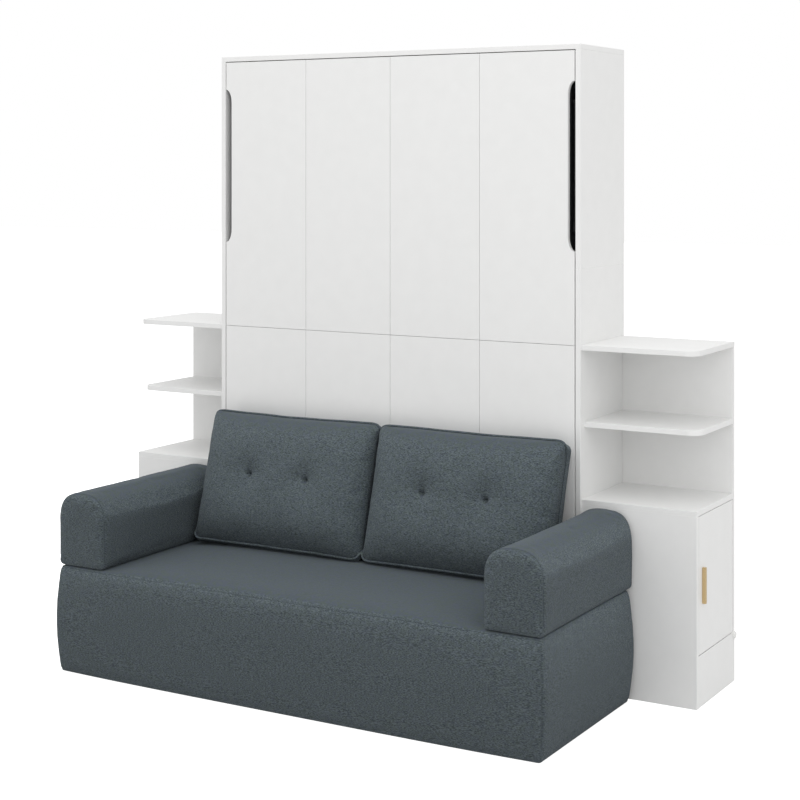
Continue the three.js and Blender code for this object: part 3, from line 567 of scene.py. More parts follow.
@dataclass(frozen=True)
class PolyesterWebbing(Finish):
    """Black polyester webbing in a twill weave: fine slanted ribs with a low shine."""

    name: str = "black_polyester_webbing_twill"
    colour: str = "26282B"
    roughness: float = 0.6

    def lay(self, coat: Coat) -> None:
        """Adds the twill's slanted ribs, about 2 mm apart.

        Args:
            coat: The material's nodes.
        """
        ribs = coat.add("TexWave", {
            "Vector": coat.cells(12.0), "Scale": 1.0, "Distortion": 0.6,
        }, bands_direction="DIAGONAL")
        coat.put({"Base Color": coat.tones(ribs.outputs["Fac"], "1C1D20", "36383C")})
        coat.relief(ribs.outputs["Fac"], 0.6, 0.4)


@dataclass(frozen=True)
class SatinBrass(Finish):
    """Brass brushed along the bar and lacquered: long fine lines and a warm blurred shine."""

    name: str = "satin_brass_brushed"
    colour: str = "D6BC8E"
    roughness: float = 0.3
    metallic: float = 1.0

    def lay(self, coat: Coat) -> None:
        """Adds brush lines, drawn 0.6 mm apart so that a close view shows them.

        Args:
            coat: The material's nodes.
        """
        brush = coat.add("TexNoise", {"Vector": coat.cells(0.6, 0.6, 45.0), "Detail": 3.0})
        coat.put({"Base Color": coat.tones(brush.outputs["Fac"], "C9AC7C", "DFC99E")})
        coat.shine(brush.outputs["Fac"], 0.22, 0.4)
        coat.relief(brush.outputs["Fac"], 0.2, 0.05)


@dataclass(frozen=True)
class MouldedPlastic(Finish):
    """White polyamide moulded against a fine spark-eroded tool: even, with a soft shine."""

    name: str = "white_polyamide_moulded"
    colour: str = "F0F0EE"
    roughness: float = 0.38

    def lay(self, coat: Coat) -> None:
        """Adds the tool's spark grain.

        Args:
            coat: The material's nodes.
        """
        spark = coat.add("TexNoise", {"Vector": coat.cells(0.7)})
        coat.relief(spark.outputs["Fac"], 0.3, 0.05)


@dataclass(frozen=True)
class ZincSteel(Finish):
    """Bright zinc-plated steel of screws: bluish, with cloudy patches."""

    name: str = "zinc_plated_steel"
    colour: str = "B9BEC3"
    roughness: float = 0.32
    metallic: float = 1.0

    def lay(self, coat: Coat) -> None:
        """Adds the plating's cloudy gloss.

        Args:
            coat: The material's nodes.
        """
        cloud = coat.add("TexNoise", {"Vector": coat.cells(4.0)})
        coat.shine(cloud.outputs["Fac"], 0.24, 0.44)


BOUCLE = BoucleFabric()
TICKING = KnittedTicking()
WEBBING = PolyesterWebbing()
# A slate cord laid in the seams of the arms and the seat's top edge: painted seam shade.
PAINTED_SEAM_SHADE = ThreadAndSeamShade(name="slate_painted_seam_shade", colour="353E44")

NODE_FINISHES: dict[Slot, Finish] = {
    Slot.BOARD: MelamineBoard(),
    Slot.STEEL: PowderCoat(),
    Slot.CHROME: HardChrome(),
    Slot.BIRCH: BirchPlywood(),
    Slot.BRASS: SatinBrass(),
    Slot.PLASTIC: MouldedPlastic(),
}


def dress(slot: Slot, nodes: Iterable[str]) -> None:
    """Gives CAD nodes the finish of a slot.

    Args:
        slot: The material slot.
        nodes: Names of the nodes.
    """
    material = NODE_FINISHES[slot].material()
    for name in nodes:
        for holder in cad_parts[name].material_slots:
            holder.material = material


# Making meshes


def mesh_piece(
    name: str, points: Iterable[Iterable[float]], faces: Iterable[Face], finish: Finish,
) -> bpy.types.Object:
    """Makes a smooth mesh object with one finish.

    Args:
        name: Name of the object and its mesh.
        points: Corner places in metres.
        faces: Corner numbers of each face.
        finish: The surface finish.

    Returns:
        The new object.
    """
    mesh = bpy.data.meshes.new(name)
    mesh.from_pydata([tuple(map(float, point)) for point in points], [], list(faces))
    mesh.update()
    mesh.shade_smooth()
    mesh.materials.append(finish.material())
    obj = bpy.data.objects.new(name, mesh)
    bpy.context.scene.collection.objects.link(obj)
    return obj


def read_rows(rows: bpy.types.bpy_prop_collection, field: str) -> np.ndarray:
    """Reads one direction or place from each row of a mesh's data.

    Args:
        rows: The mesh's points or their normals.
        field: What to read from each.

    Returns:
        X, Y and Z of each, one row each.
    """
    flat = np.empty(len(rows) * 3, dtype=np.float32)
    rows.foreach_get(field, flat)
    return flat.reshape(-1, 3).astype(float)


def read_points(mesh: bpy.types.Mesh) -> np.ndarray:
    """The places of a mesh's points, one row each."""
    return read_rows(mesh.vertices, "co")


def read_normals(mesh: bpy.types.Mesh) -> np.ndarray:
    """The outward direction at each point of a mesh, one row each."""
    return read_rows(mesh.vertex_normals, "vector")


def write_points(mesh: bpy.types.Mesh, points: np.ndarray) -> None:
    """Gives a mesh's points new places."""
    mesh.vertices.foreach_set("co", points.astype(np.float32).ravel())
    mesh.update()


def unit(vectors: np.ndarray) -> np.ndarray:
    """Each row's direction."""
    return vectors / np.maximum(np.linalg.norm(vectors, axis=1, keepdims=True), TINY)


def wander(points: np.ndarray, wave: float, seed: float) -> np.ndarray:
    """Slow noise from -1 to 1 at each point.

    Args:
        points: Places in metres.
        wave: Length of one swell in metres.
        seed: Number that makes one piece's noise differ from another's.

    Returns:
        One value for each point.
    """
    shift = Vector((seed * 7.3, seed * 3.1, seed * 5.7))
    return np.array([noise.noise(Vector(point) / wave + shift) for point in points])


def uneven(points: np.ndarray, swells: Iterable[Swell], seed: float) -> np.ndarray:
    """Adds up the swells of uneven cloth at each point."""
    return sum(depth * wander(points, wave, seed + step) for depth, wave, step in swells)


def neighbours(count: int, loop: bool) -> list[tuple[int, int]]:
    """Numbers side by side along a row, and back to the first one if it loops."""
    return [(number, (number + 1) % count) for number in range(count if loop else count - 1)]


def quads(rows: int, columns: int, loop_rows: bool = False, loop_columns: bool = True) -> list[Face]:
    """Faces between rows of points.

    Args:
        rows: How many rows there are.
        columns: How many points each row has.
        loop_rows: Whether the last row joins the first.
        loop_columns: Whether each row's last point joins its first.

    Returns:
        The faces, row by row.
    """
    return [
        (a * columns + i, a * columns + j, b * columns + j, b * columns + i)
        for a, b in neighbours(rows, loop_rows) for i, j in neighbours(columns, loop_columns)
    ]


def lids(rows: int, columns: int) -> tuple[Face, Face]:
    """Faces that close the first and the last row of points."""
    last = (rows - 1) * columns
    return tuple(range(columns))[::-1], tuple(range(last, last + columns))


def joined(shapes: Iterable[Shape]) -> Shape:
    """Makes one shape of several.

    Args:
        shapes: The shapes.

    Returns:
        Their points and faces together.
    """
    points: list[np.ndarray] = []
    faces: list[Face] = []
    for block, sides in shapes:
        start = sum(len(part) for part in points)
        faces += [tuple(corner + start for corner in face) for face in sides]
        points.append(block)
    return np.concatenate(points), faces


def cord(path: np.ndarray, outward: np.ndarray, radius: float, closed: bool = True, facets: int = 8) -> Shape:
    """A round cord along a path.

    Args:
        path: Places along the middle of the cord.
        outward: A direction across the path at each place.
        radius: Radius of the cord.
        closed: Whether the last place joins the first.
        facets: Points round the cord.

    Returns:
        The cord's points and faces.
    """
    ahead = np.roll(path, -1, axis=0) - np.roll(path, 1, axis=0)
    if not closed:
        ahead[0], ahead[-1] = path[1] - path[0], path[-1] - path[-2]
    ahead = unit(ahead)
    across = unit(np.cross(ahead, outward))
    up = np.cross(across, ahead)
    angles = np.arange(facets) * 2 * math.pi / facets
    rings = (
        path[:, None, :]
        + radius * np.cos(angles)[None, :, None] * across[:, None, :]
        + radius * np.sin(angles)[None, :, None] * up[:, None, :]
    )
    count = len(path)
    faces = quads(count, facets, loop_rows=closed)
    if not closed:
        faces += lids(count, facets)
    return rings.reshape(-1, 3), faces


def seam_cord(
    name: str, path: np.ndarray, outward: np.ndarray, radius: float, finish: Finish, closed: bool = True,
) -> bpy.types.Object:
    """Makes a piece of a cord along a seam, such as a welt or the thread in the seam's valley."""
    return mesh_piece(name, *cord(path, outward, radius, closed), finish)


@dataclass(frozen=True)
class ScrewHead:
    """Pan head of a screw with a hexagonal socket."""

    radius: float = 4.5 * MM
    height: float = 2.4 * MM
    socket: float = 2.2 * MM
    profile_shares: tuple[tuple[float, float], ...] = ((1.0, 0.0), (1.0, 0.45), (0.86, 0.85), (0.66, 1.0))
    socket_height_shares: tuple[float, float] = (1.0, 0.35)
    facets: int = 24

    def build(self, seat: Vector, facing: Vector) -> Shape:
        """Makes the head where it seats.

        Args:
            seat: Middle of the head's seat.
            facing: Direction that the head faces.

        Returns:
            The head's points and faces.
        """
        angles = np.arange(self.facets) * 2 * math.pi / self.facets
        side = math.pi / 3
        hexagon = 1 / np.cos((angles + side / 2) % side - side / 2)
        rings = [(self.radius * out, self.height * up) for out, up in self.profile_shares]
        rings += [(self.socket * hexagon, self.height * up) for up in self.socket_height_shares]
        points = np.concatenate([
            np.column_stack([reach * np.cos(angles), reach * np.sin(angles), np.full(self.facets, up)])
            for reach, up in rings
        ])
        turn = np.array(facing.to_track_quat("Z", "Y").to_matrix())
        first, last = lids(len(rings), self.facets)
        return points @ turn.T + np.array(seat), [first, *quads(len(rings), self.facets), last]

    def fit(self, name: str, seats: Iterable[Vector], facing: Vector, body: str) -> None:
        """Makes one piece of equal screw heads that ride on one body.

        Args:
            name: Name of the piece.
            seats: Place of each head.
            facing: Direction that the heads face.
            body: Body that they ride on.
        """
        points, faces = joined(self.build(seat, facing) for seat in seats)
        obj = mesh_piece(name, points, faces, ZincSteel())
        obj.data.shade_flat()
        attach(obj, body)


# Soft forms


def grid_lines(
    half: float, step: float, edge_step: float, edge_count: int,
    spot: tuple[float, float, float] = (0.0, 0.0, 0.0),
) -> np.ndarray:
    """Places of grid lines along one side, closer together at its ends and round a chosen spot.

    Args:
        half: Half the side's length.
        step: Usual distance between lines.
        edge_step: Distance between the lines next to each end.
        edge_count: How many lines stand that close at each end.
        spot: Distance from the middle, reach and line distance of the spot.

    Returns:
        Shares from -1 to 1, the same on both sides of the middle.
    """
    inner = half - edge_step * edge_count
    spot_place, spot_reach, spot_step = spot
    places = [0.0]
    while places[-1] < inner:
        near = abs(places[-1] - spot_place) < spot_reach
        places.append(places[-1] + (spot_step if near else step))
    fitted = np.array(places) * inner / places[-1]
    ends = inner + edge_step * np.arange(1, edge_count + 1)
    right = np.concatenate([fitted, ends]) / half
    return np.concatenate([-right[:0:-1], right])


def box_grid(lines: tuple[np.ndarray, np.ndarray, np.ndarray]) -> Shape:
    """The surface of a box from -1 to 1, divided along three sets of lines.

    Args:
        lines: Shares of the lines along X, Y and Z.

    Returns:
        The surface's points and outward faces.
    """
    numbers: dict[tuple[int, ...], int] = {}
    faces: list[Face] = []
    last = [len(line) - 1 for line in lines]
    for axis in range(3):
        first, second = (axis + 1) % 3, (axis + 2) % 3
        for end in (0, last[axis]):
            for i in range(last[first]):
                for j in range(last[second]):
                    ring = []
                    for di, dj in ((0, 0), (1, 0), (1, 1), (0, 1)):
                        cell = [0, 0, 0]
                        cell[axis], cell[first], cell[second] = end, i + di, j + dj
                        ring.append(numbers.setdefault(tuple(cell), len(numbers)))
                    faces.append(tuple(ring if end else ring[::-1]))
    points = np.array([[line[place] for line, place in zip(lines, cell)] for cell in numbers])
    return points, faces


def round_corners(
    first: np.ndarray, second: np.ndarray, half_first: float, half_second: float, radius: float,
) -> tuple[np.ndarray, np.ndarray]:
    """Bends a rectangle's grid so that its four corners become round.

    Args:
        first: Places along the first side, from its middle.
        second: Places along the second side, from its middle.
        half_first: Half the first side's length.
        half_second: Half the second side's length.
        radius: Radius of the corners.

    Returns:
        The bent places along both sides.
    """
    core_first = np.clip(first, radius - half_first, half_first - radius)
    core_second = np.clip(second, radius - half_second, half_second - radius)
    out_first, out_second = first - core_first, second - core_second
    reach = np.maximum(np.abs(out_first), np.abs(out_second))
    stretch = reach / np.maximum(np.hypot(out_first, out_second), TINY)
    return core_first + out_first * stretch, core_second + out_second * stretch


def proud_share(first: np.ndarray, second: np.ndarray, power: float = 4) -> np.ndarray:
    """How far a face stands proud: all of it in its middle, nothing at its edges."""
    return (1 - np.abs(first) ** power) * (1 - np.abs(second) ** power)


def bell(values: np.ndarray, reach: float) -> np.ndarray:
    """A smooth hump's share of its height, 1 at no distance and little beyond its reach."""
    return np.exp(-((values / reach) ** 2))


def eased(values: np.ndarray, start: float, end: float) -> np.ndarray:
    """Rises smoothly from 0 at one value to 1 at another."""
    share = np.clip((values - start) / (end - start), 0, 1)
    return share**2 * (3 - 2 * share)


def calmed(places: np.ndarray, rounds: int = 4) -> np.ndarray:
    """Evens out a closed row of places or directions.

    Args:
        places: The places or directions in order.
        rounds: How many times each is drawn towards its neighbours.

    Returns:
        The evened row.
    """
    for _ in range(rounds):
        places = (np.roll(places, 1, axis=0) + 2 * places + np.roll(places, -1, axis=0)) / 4
    return places


@dataclass(frozen=True)
class Filling:
    """Fibre filling that blows a sewn cover up between its seams."""

    pressure: float = 4.0
    reach: float = 6 * MM
    slack: float = 0.004
    frames: int = 20
    quality: int = 5
    mass: float = 0.3
    stretch_stiffness: float = 20.0
    shear_stiffness: float = 8.0
    bending_stiffness: float = 0.6

    def swell(self, obj: bpy.types.Object, sewn: np.ndarray) -> None:
        """Blows the cover up while its sewn points stay where they are.

        Args:
            obj: The cover, a closed mesh.
            sewn: True for each point that a seam holds.
        """
        scene = bpy.context.scene
        before = read_points(obj.data)
        group = obj.vertex_groups.new(name="sewn")
        group.add([int(number) for number in np.flatnonzero(sewn)], 1.0, "REPLACE")
        cloth = obj.modifiers.new("filling", "CLOTH")
        settings = {
            "quality": self.quality,
            "mass": self.mass,
            "tension_stiffness": self.stretch_stiffness,
            "compression_stiffness": self.stretch_stiffness,
            "shear_stiffness": self.shear_stiffness,
            "bending_stiffness": self.bending_stiffness,
            "shrink_min": -self.slack,
            "use_pressure": True,
            "uniform_pressure_force": self.pressure,
            "vertex_group_mass": group.name,
        }
        for key, value in settings.items():
            setattr(cloth.settings, key, value)
        cloth.settings.effector_weights.gravity = 0.0
        cloth.collision_settings.use_collision = False
        cloth.point_cache.frame_start = 1
        cloth.point_cache.frame_end = self.frames
        for number in range(1, self.frames + 1):
            scene.frame_set(number)
        settled = obj.evaluated_get(bpy.context.evaluated_depsgraph_get())
        after = read_points(settled.data)
        obj.modifiers.remove(cloth)
        obj.vertex_groups.remove(group)
        scene.frame_set(1)
        step = after - before
        length = np.maximum(np.linalg.norm(step, axis=1, keepdims=True), TINY)
        write_points(obj.data, before + step / length * self.reach * np.tanh(length / self.reach))


def smoothed(obj: bpy.types.Object) -> None:
    """Rounds a cover's facets with one level of subdivision."""
    rounding = obj.modifiers.new("rounding", "SUBSURF")
    rounding.levels = rounding.render_levels = 1


def upholster(pieces: list[bpy.types.Object], node: str, body: str) -> None:
    """Puts a soft form and what is sewn to it in the place of its CAD solid.

    Args:
        pieces: The cover first, then its cords and stitches.
        node: CAD node that the cover replaces.
        body: Body that the pieces ride on.
    """
    for piece in pieces:
        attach(piece, body)
    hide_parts(node)


@dataclass(frozen=True)
class TuftStitch:
    """The short double stitch at the bottom of a tuft."""

    radius: float = 1.1 * MM
    length: float = 7 * MM
    gap: float = 2.4 * MM
    sag_share: float = 0.6
    steps: int = 9

    def build(self, name: str, place: np.ndarray) -> bpy.types.Object:
        """Makes two short loops of thread side by side.

        Args:
            name: Name of the piece.
            place: Middle of the stitch, with the cover behind it.

        Returns:
            The piece.
        """
        turns = np.linspace(0, math.pi, self.steps)
        outward = np.tile([1.0, 0.0, 0.0], (self.steps, 1))
        loops = []
        for sign in (-1, 1):
            path = np.column_stack([
                np.full(self.steps, sign * self.gap / 2),
                -self.sag_share * self.radius * np.sin(turns),
                self.length / 2 * np.cos(turns),
            ])
            loops.append(cord(place + path, outward, self.radius, closed=False))
        return mesh_piece(name, *joined(loops), ThreadAndSeamShade())


@dataclass(frozen=True)
class BackCushion:
    """A loose back cushion: crowned faces, a rolled seam round its border and two sewn tufts."""

    side: Side
    width: float = 708 * MM
    height: float = 459 * MM
    edge: float = 66 * MM
    front_crown: float = 76 * MM
    back_crown: float = 42 * MM
    corner: float = 25 * MM
    pull_in: float = 4 * MM
    top_draw: float = 4 * MM
    back_draw: float = 3 * MM
    shift: float = 3 * MM
    foot_power: float = 3.0
    tilt_degrees: float = 16.0
    slack_start: float = 5 * MM
    fill: float = 0.85
    swells: tuple[Swell, ...] = ((1.8 * MM, 0.11, 0.0), (0.9 * MM, 0.045, 4.0))
    top_swell: Swell = (2.6 * MM, 0.13, 9.0)
    top_swell_squeeze: tuple[float, float, float] = (1.0, 0.2, 0.2)
    top_swell_power: int = 6
    seeds: tuple[float, float] = (1.0, 2.6)

    tuft_offset: float = 120.5 * MM
    tuft_rise: float = 4 * MM
    tuft_depth: float = 7 * MM
    tuft_radius: float = 36 * MM
    pinch_depth: float = 19 * MM
    pinch_radius: float = 8.5 * MM
    # Each pleat at a tuft has its depth, half width, rise above the tuft and half length.
    pleats: tuple[tuple[float, float, float, float], ...] = (
        (4 * MM, 5 * MM, 22 * MM, 20 * MM), (2.5 * MM, 6 * MM, -16 * MM, 11 * MM),
    )
    sewn_share: float = 0.75

    # The seam runs at these shares of the thickness: on the sides, and further forward above and below.
    side_seam_share: float = -0.1
    top_seam_share: float = 0.75
    foot_seam_share: float = 0.9
    top_ease_shares: tuple[float, float] = (0.75, 1.0)
    foot_ease_shares: tuple[float, float] = (0.75, 0.97)
    seam_foot: float = 7 * MM
    seam_points: int = 480
    roll_radius: float = 4.5 * MM
    roll_proud: float = 2.5 * MM
    # The dark cord in the crease beside the roll is painted crease shade.
    crease_gap: float = 5.4 * MM
    seam_shade_radius: float = 1.4 * MM
    seam_shade_proud: float = 0.3 * MM

    grid_step: float = 12 * MM
    edge_step: float = 4 * MM
    edge_count: int = 7
    border_edge_count: int = 2
    tuft_grid_across: float = 24 * MM
    tuft_grid_up: float = 26 * MM

    def form(self, shares: np.ndarray, slack: float) -> np.ndarray:
        """Places of the cover's points before it is filled.

        Args:
            shares: Each point's place on the unit box.
            slack: How far the crowns stay below their full height.

        Returns:
            Places in metres, upright and round the cushion's own middle.
        """
        across, through, up = shares.T
        x, z = round_corners(
            across * self.width / 2, up * self.height / 2, self.width / 2, self.height / 2, self.corner,
        )
        rear = np.maximum(through, 0)
        x = x - across * (self.pull_in * (1 - up**2) + self.back_draw * rear)
        z = z - np.maximum(up, 0) * (self.top_draw + self.pull_in * (1 - across**2) + self.back_draw * rear)
        swell = np.sqrt(np.clip(proud_share(across, up), 0, 1))
        crown = np.where(through < 0, self.front_crown, self.back_crown) - slack
        y = through * (self.edge / 2 + crown * swell)
        level = ((1 - up) / 2) ** self.foot_power
        z = z - math.tan(math.radians(self.tilt_degrees)) * self.edge / 2 * (1 - through) * level
        return np.column_stack([x, y, z])

    def tufts(self, points: np.ndarray) -> np.ndarray:
        """How far the two sewn tufts pull each point of the front in.

        Args:
            points: Places in metres round the cushion's middle.

        Returns:
            Distance to the back for each point.
        """
        pull = np.zeros(len(points))
        for sign in (-1, 1):
            dx = points[:, 0] - sign * self.tuft_offset
            dz = points[:, 2] - self.tuft_rise
            away = np.hypot(dx, dz)
            pull += self.tuft_depth * bell(away, self.tuft_radius)
            pull += self.pinch_depth * bell(away, self.pinch_radius)
            for depth, half_width, rise, half_length in self.pleats:
                pull += depth * bell(dx, half_width) * bell(dz - rise, half_length)
        return pull

    def build(self) -> None:
        """Makes the filled cover, its rolled seam, a dark cord of painted crease shade beside the roll and
        its tuft stitches.
        """
        word = self.side.word
        seed = self.side.pick(*self.seeds)
        lines = (
            grid_lines(
                self.width / 2, self.grid_step, self.edge_step, self.edge_count,
                (self.tuft_offset, self.tuft_grid_across, self.edge_step),
            ),
            grid_lines(self.edge / 2, self.grid_step / 2, self.edge_step, self.border_edge_count),
            grid_lines(
                self.height / 2, self.grid_step, self.edge_step, self.edge_count,
                (self.tuft_rise, self.tuft_grid_up, self.edge_step),
            ),
        )
        shares, faces = box_grid(lines)
        points = self.form(shares, self.slack_start)
        border = (np.abs(shares[:, 0]) == 1) | (np.abs(shares[:, 2]) == 1)
        front = shares[:, 1] == -1
        held = np.where(front, self.tufts(points), 0.0)
        points[:, 1] += held
        cover = mesh_piece(f"cushion_{word}_cover", points, faces, BOUCLE)
        Filling().swell(cover, border | (held > self.sewn_share * held.max()))
        points = read_points(cover.data)
        points += read_normals(cover.data) * (uneven(points, self.swells, seed) * ~border)[:, None]
        on_top = np.maximum(shares[:, 2], 0) ** self.top_swell_power
        points[:, 2] += uneven(points * self.top_swell_squeeze, [self.top_swell], seed) * on_top
        write_points(cover.data, points)
        roll, crease, outward = self.seam(cover)
        smoothed(cover)
        pieces = [
            cover,
            seam_cord(f"cushion_{word}_roll", roll, outward, self.roll_radius, BOUCLE),
            # A dark cord in the crease beside the roll: painted crease shade.
            seam_cord(f"cushion_{word}_thread", crease, outward, self.seam_shade_radius, ThreadAndSeamShade()),
        ]
        for number, sign in enumerate((-1, 1), start=1):
            away = np.hypot(points[:, 0] - sign * self.tuft_offset, points[:, 2] - self.tuft_rise)
            nearest = int(np.argmin(np.where(front, away, np.inf)))
            pieces.append(TuftStitch().build(f"cushion_{word}_tuft_{number}", points[nearest]))
        self.set_down(shares, pieces)
        upholster(pieces, f"cushion_{word}", f"back_cushion_{word}")

    def seam(self, cover: bpy.types.Object) -> tuple[np.ndarray, np.ndarray, np.ndarray]:
        """Where the rolled seam runs: along the sides' middle, the top's front and low on the front.

        Args:
            cover: The filled cover.

        Returns:
            Places of the roll, places of the crease on its front side and outward directions.
        """
        mesh = cover.data
        tree = BVHTree.FromPolygons(read_points(mesh), [tuple(face.vertices) for face in mesh.polygons])
        turns = np.linspace(0, 2 * math.pi, self.seam_points, endpoint=False)
        ring = np.column_stack([np.cos(turns), np.sin(turns)])
        ring /= np.abs(ring).max(axis=1, keepdims=True)
        rise = eased(ring[:, 1], *self.top_ease_shares)
        drop = eased(-ring[:, 1], *self.foot_ease_shares)
        across, up = (ring * (1 - 2 * self.seam_foot * drop[:, None] / [self.width, self.height])).T
        through = self.side_seam_share - self.top_seam_share * rise - self.foot_seam_share * drop
        guesses = self.form(np.column_stack([across, through, up]), 0.0)
        found = [tree.find_nearest(Vector(guess)) for guess in guesses]
        path = calmed(np.array([hit[0] for hit in found]))
        outward = unit(calmed(np.array([hit[1] for hit in found])))
        ahead = unit(np.roll(path, -1, axis=0) - np.roll(path, 1, axis=0))
        beside = path + np.cross(outward, ahead) * self.crease_gap
        crease = calmed(np.array([tree.find_nearest(Vector(place))[0] for place in beside]))
        roll = path + outward * (self.roll_proud * (rise + drop))[:, None]
        return roll, crease + outward * self.seam_shade_proud, outward

    def set_down(self, shares: np.ndarray, pieces: list[bpy.types.Object]) -> None:
        """Leans the cushion on the bed's face, stands it on the seat and presses both contacts flat.

        Args:
            shares: Place on the unit box of each point of the cover.
            pieces: The cover first, then what is sewn to it.
        """
        low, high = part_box(f"cushion_{self.side.word}")
        lean = Matrix.Rotation(-math.radians(self.tilt_degrees), 4, "X")
        full = self.form(shares, 0.0) @ np.array(lean.to_3x3()).T
        place = Matrix.Translation((
            (low.x + high.x) / 2 + self.shift, high.y - full[:, 1].max(), low.z - full[:, 2].min(),
        )) @ lean
        for piece in pieces:
            piece.data.transform(place)
            points = read_points(piece.data)
            points[:, 1] = np.minimum(points[:, 1], high.y)
            points[:, 2] = np.maximum(points[:, 2], low.z)
            write_points(piece.data, points)


@dataclass(frozen=True)
class SofaArm:
    """A loose arm block: flat foot, straight sides and a domed top, with sewn end panels."""

    side: Side
    width: float = 200 * MM
    height: float = 254 * MM
    inward_shift: float = 2 * MM
    foot: float = 16 * MM
    end_radius: float = 17 * MM
    dome_share: float = 0.46
    dome_power: float = 2.9
    slack_start: float = 0.5 * MM
    foot_band: float = 0.5 * MM
    seam_depth: float = 1.2 * MM
    seam_shade_radius: float = 0.8 * MM
    swells: tuple[Swell, ...] = ((1.3 * MM, 0.13, 0.0), (0.6 * MM, 0.05, 2.0))
    seeds: tuple[float, float] = (5.0, 7.7)
    ring_points: int = 116
    foot_points: int = 12
    dome_points: int = 60
    end_rings: int = 7
    station_step: float = 13 * MM
    cap_shares: tuple[float, ...] = (0.86, 0.72, 0.58, 0.44, 0.3, 0.16, 0.05)
    seam_station: int = 5

    def foot_corner(self, middle: float, inset: float, start: float) -> list[tuple[float, float]]:
        """One rounded lower corner of the arm's section.

        Args:
            middle: X of the corner's middle.
            inset: Distance that the section is drawn in all round.
            start: Angle where the quarter turn starts.

        Returns:
            X and Z of each point.
        """
        turns = np.linspace(start, start + math.pi / 2, self.foot_points)
        return [
            (middle + self.foot * math.cos(turn), inset + self.foot + self.foot * math.sin(turn))
            for turn in turns
        ]

    def section(self, inset: float) -> np.ndarray:
        """Points round the arm's section, at equal steps from the middle of its foot.

        Args:
            inset: Distance that the section is drawn in all round.

        Returns:
            X and Z of each point, round the middle of the arm's foot.
        """
        half = self.width / 2 - inset
        rise = self.height * self.dome_share
        bend = 2 / self.dome_power
        rough = [(0.0, inset), *self.foot_corner(half - self.foot, inset, -math.pi / 2)]
        for turn in np.linspace(0, math.pi, self.dome_points):
            across = math.copysign(abs(math.cos(turn)) ** bend, math.cos(turn))
            up = max(math.sin(turn), 0.0) ** bend
            rough.append((half * across, self.height - rise + (rise - inset) * up))
        outline = np.array([*rough, *self.foot_corner(self.foot - half, inset, math.pi), (0.0, inset)])
        steps = np.concatenate([[0], np.cumsum(np.hypot(*np.diff(outline, axis=0).T))])
        even = np.linspace(0, steps[-1], self.ring_points, endpoint=False)
        return np.column_stack([np.interp(even, steps, outline[:, axis]) for axis in (0, 1)])

    def rows(self, depth: float) -> np.ndarray:
        """Rings of points from the middle of the front end to the middle of the back end.

        Args:
            depth: Length of the arm.

        Returns:
            Places in metres by ring and by point.
        """
        turns = np.linspace(0, math.pi / 2, self.end_rings)
        ends = [(self.end_radius * (1 - math.cos(t)), self.end_radius * (1 - math.sin(t))) for t in turns]
        straight = depth - 2 * self.end_radius
        count = round(straight / self.station_step)
        stations = [*ends, *((self.end_radius + straight * step / count, 0.0) for step in range(1, count))]
        stations += [(depth - along, inset) for along, inset in reversed(ends)]
        rings = []
        for along, inset in stations:
            ring = self.section(inset + self.slack_start)
            rings.append(np.column_stack([ring[:, 0], np.full(self.ring_points, along), ring[:, 1]]))
        centre = np.array([0.0, 0.0, self.height / 2])
        front = [(rings[0] - centre) * [share, 1.0, share] + centre for share in reversed(self.cap_shares)]
        back = [(rings[-1] - centre) * [share, 1.0, share] + centre for share in self.cap_shares]
        return np.array([*front, *rings, *back])

    def build(self) -> None:
        """Makes the filled cover and the dark cords of painted seam shade in its seams."""
        word = self.side.word
        low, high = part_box(f"arm_{word}")
        rows = self.rows(high.y - low.y)
        count, last = self.ring_points, len(rows) - 1
        # The rings run the other way round than a cord's, so each face is turned over.
        first_lid, last_lid = (lid[::-1] for lid in lids(len(rows), count))
        sides = [(b, a, d, c) for a, b, c, d in quads(len(rows), count)]
        points = rows.reshape(-1, 3)
        cover = mesh_piece(f"arm_{word}_cover", points, [first_lid, *sides, last_lid], BOUCLE)
        inset_rows = len(self.cap_shares) + self.seam_station
        seams = {"front": inset_rows, "back": last - inset_rows}
        in_seam = np.isin(np.repeat(np.arange(last + 1), count), list(seams.values()))
        foot = points[:, 2] < self.slack_start + self.foot_band
        Filling(pressure=3.0, reach=4 * MM).swell(cover, in_seam | foot)
        points = read_points(cover.data)
        normals = read_normals(cover.data)
        push = uneven(points, self.swells, self.side.pick(*self.seeds)) * ~foot - self.seam_depth * in_seam
        points += normals * push[:, None]
        points[:, 2] -= np.where(foot, points[:, 2], 0.0)
        write_points(cover.data, points)
        smoothed(cover)
        pieces = [cover]
        # Dark cords in the seam grooves: painted seam shade.
        for label, row in seams.items():
            numbers = np.arange(row * count, (row + 1) * count)
            numbers = numbers[points[numbers, 2] > 2 * self.foot]
            pieces.append(seam_cord(
                f"arm_{word}_{label}_thread", points[numbers], normals[numbers], self.seam_shade_radius,
                PAINTED_SEAM_SHADE, closed=False,
            ))
        middle = (low.x + high.x) / 2 - self.side.value * self.inward_shift
        for piece in pieces:
            piece.data.transform(Matrix.Translation((middle, low.y, low.z)))
        upholster(pieces, f"arm_{word}", f"sofa_arm_{word}")


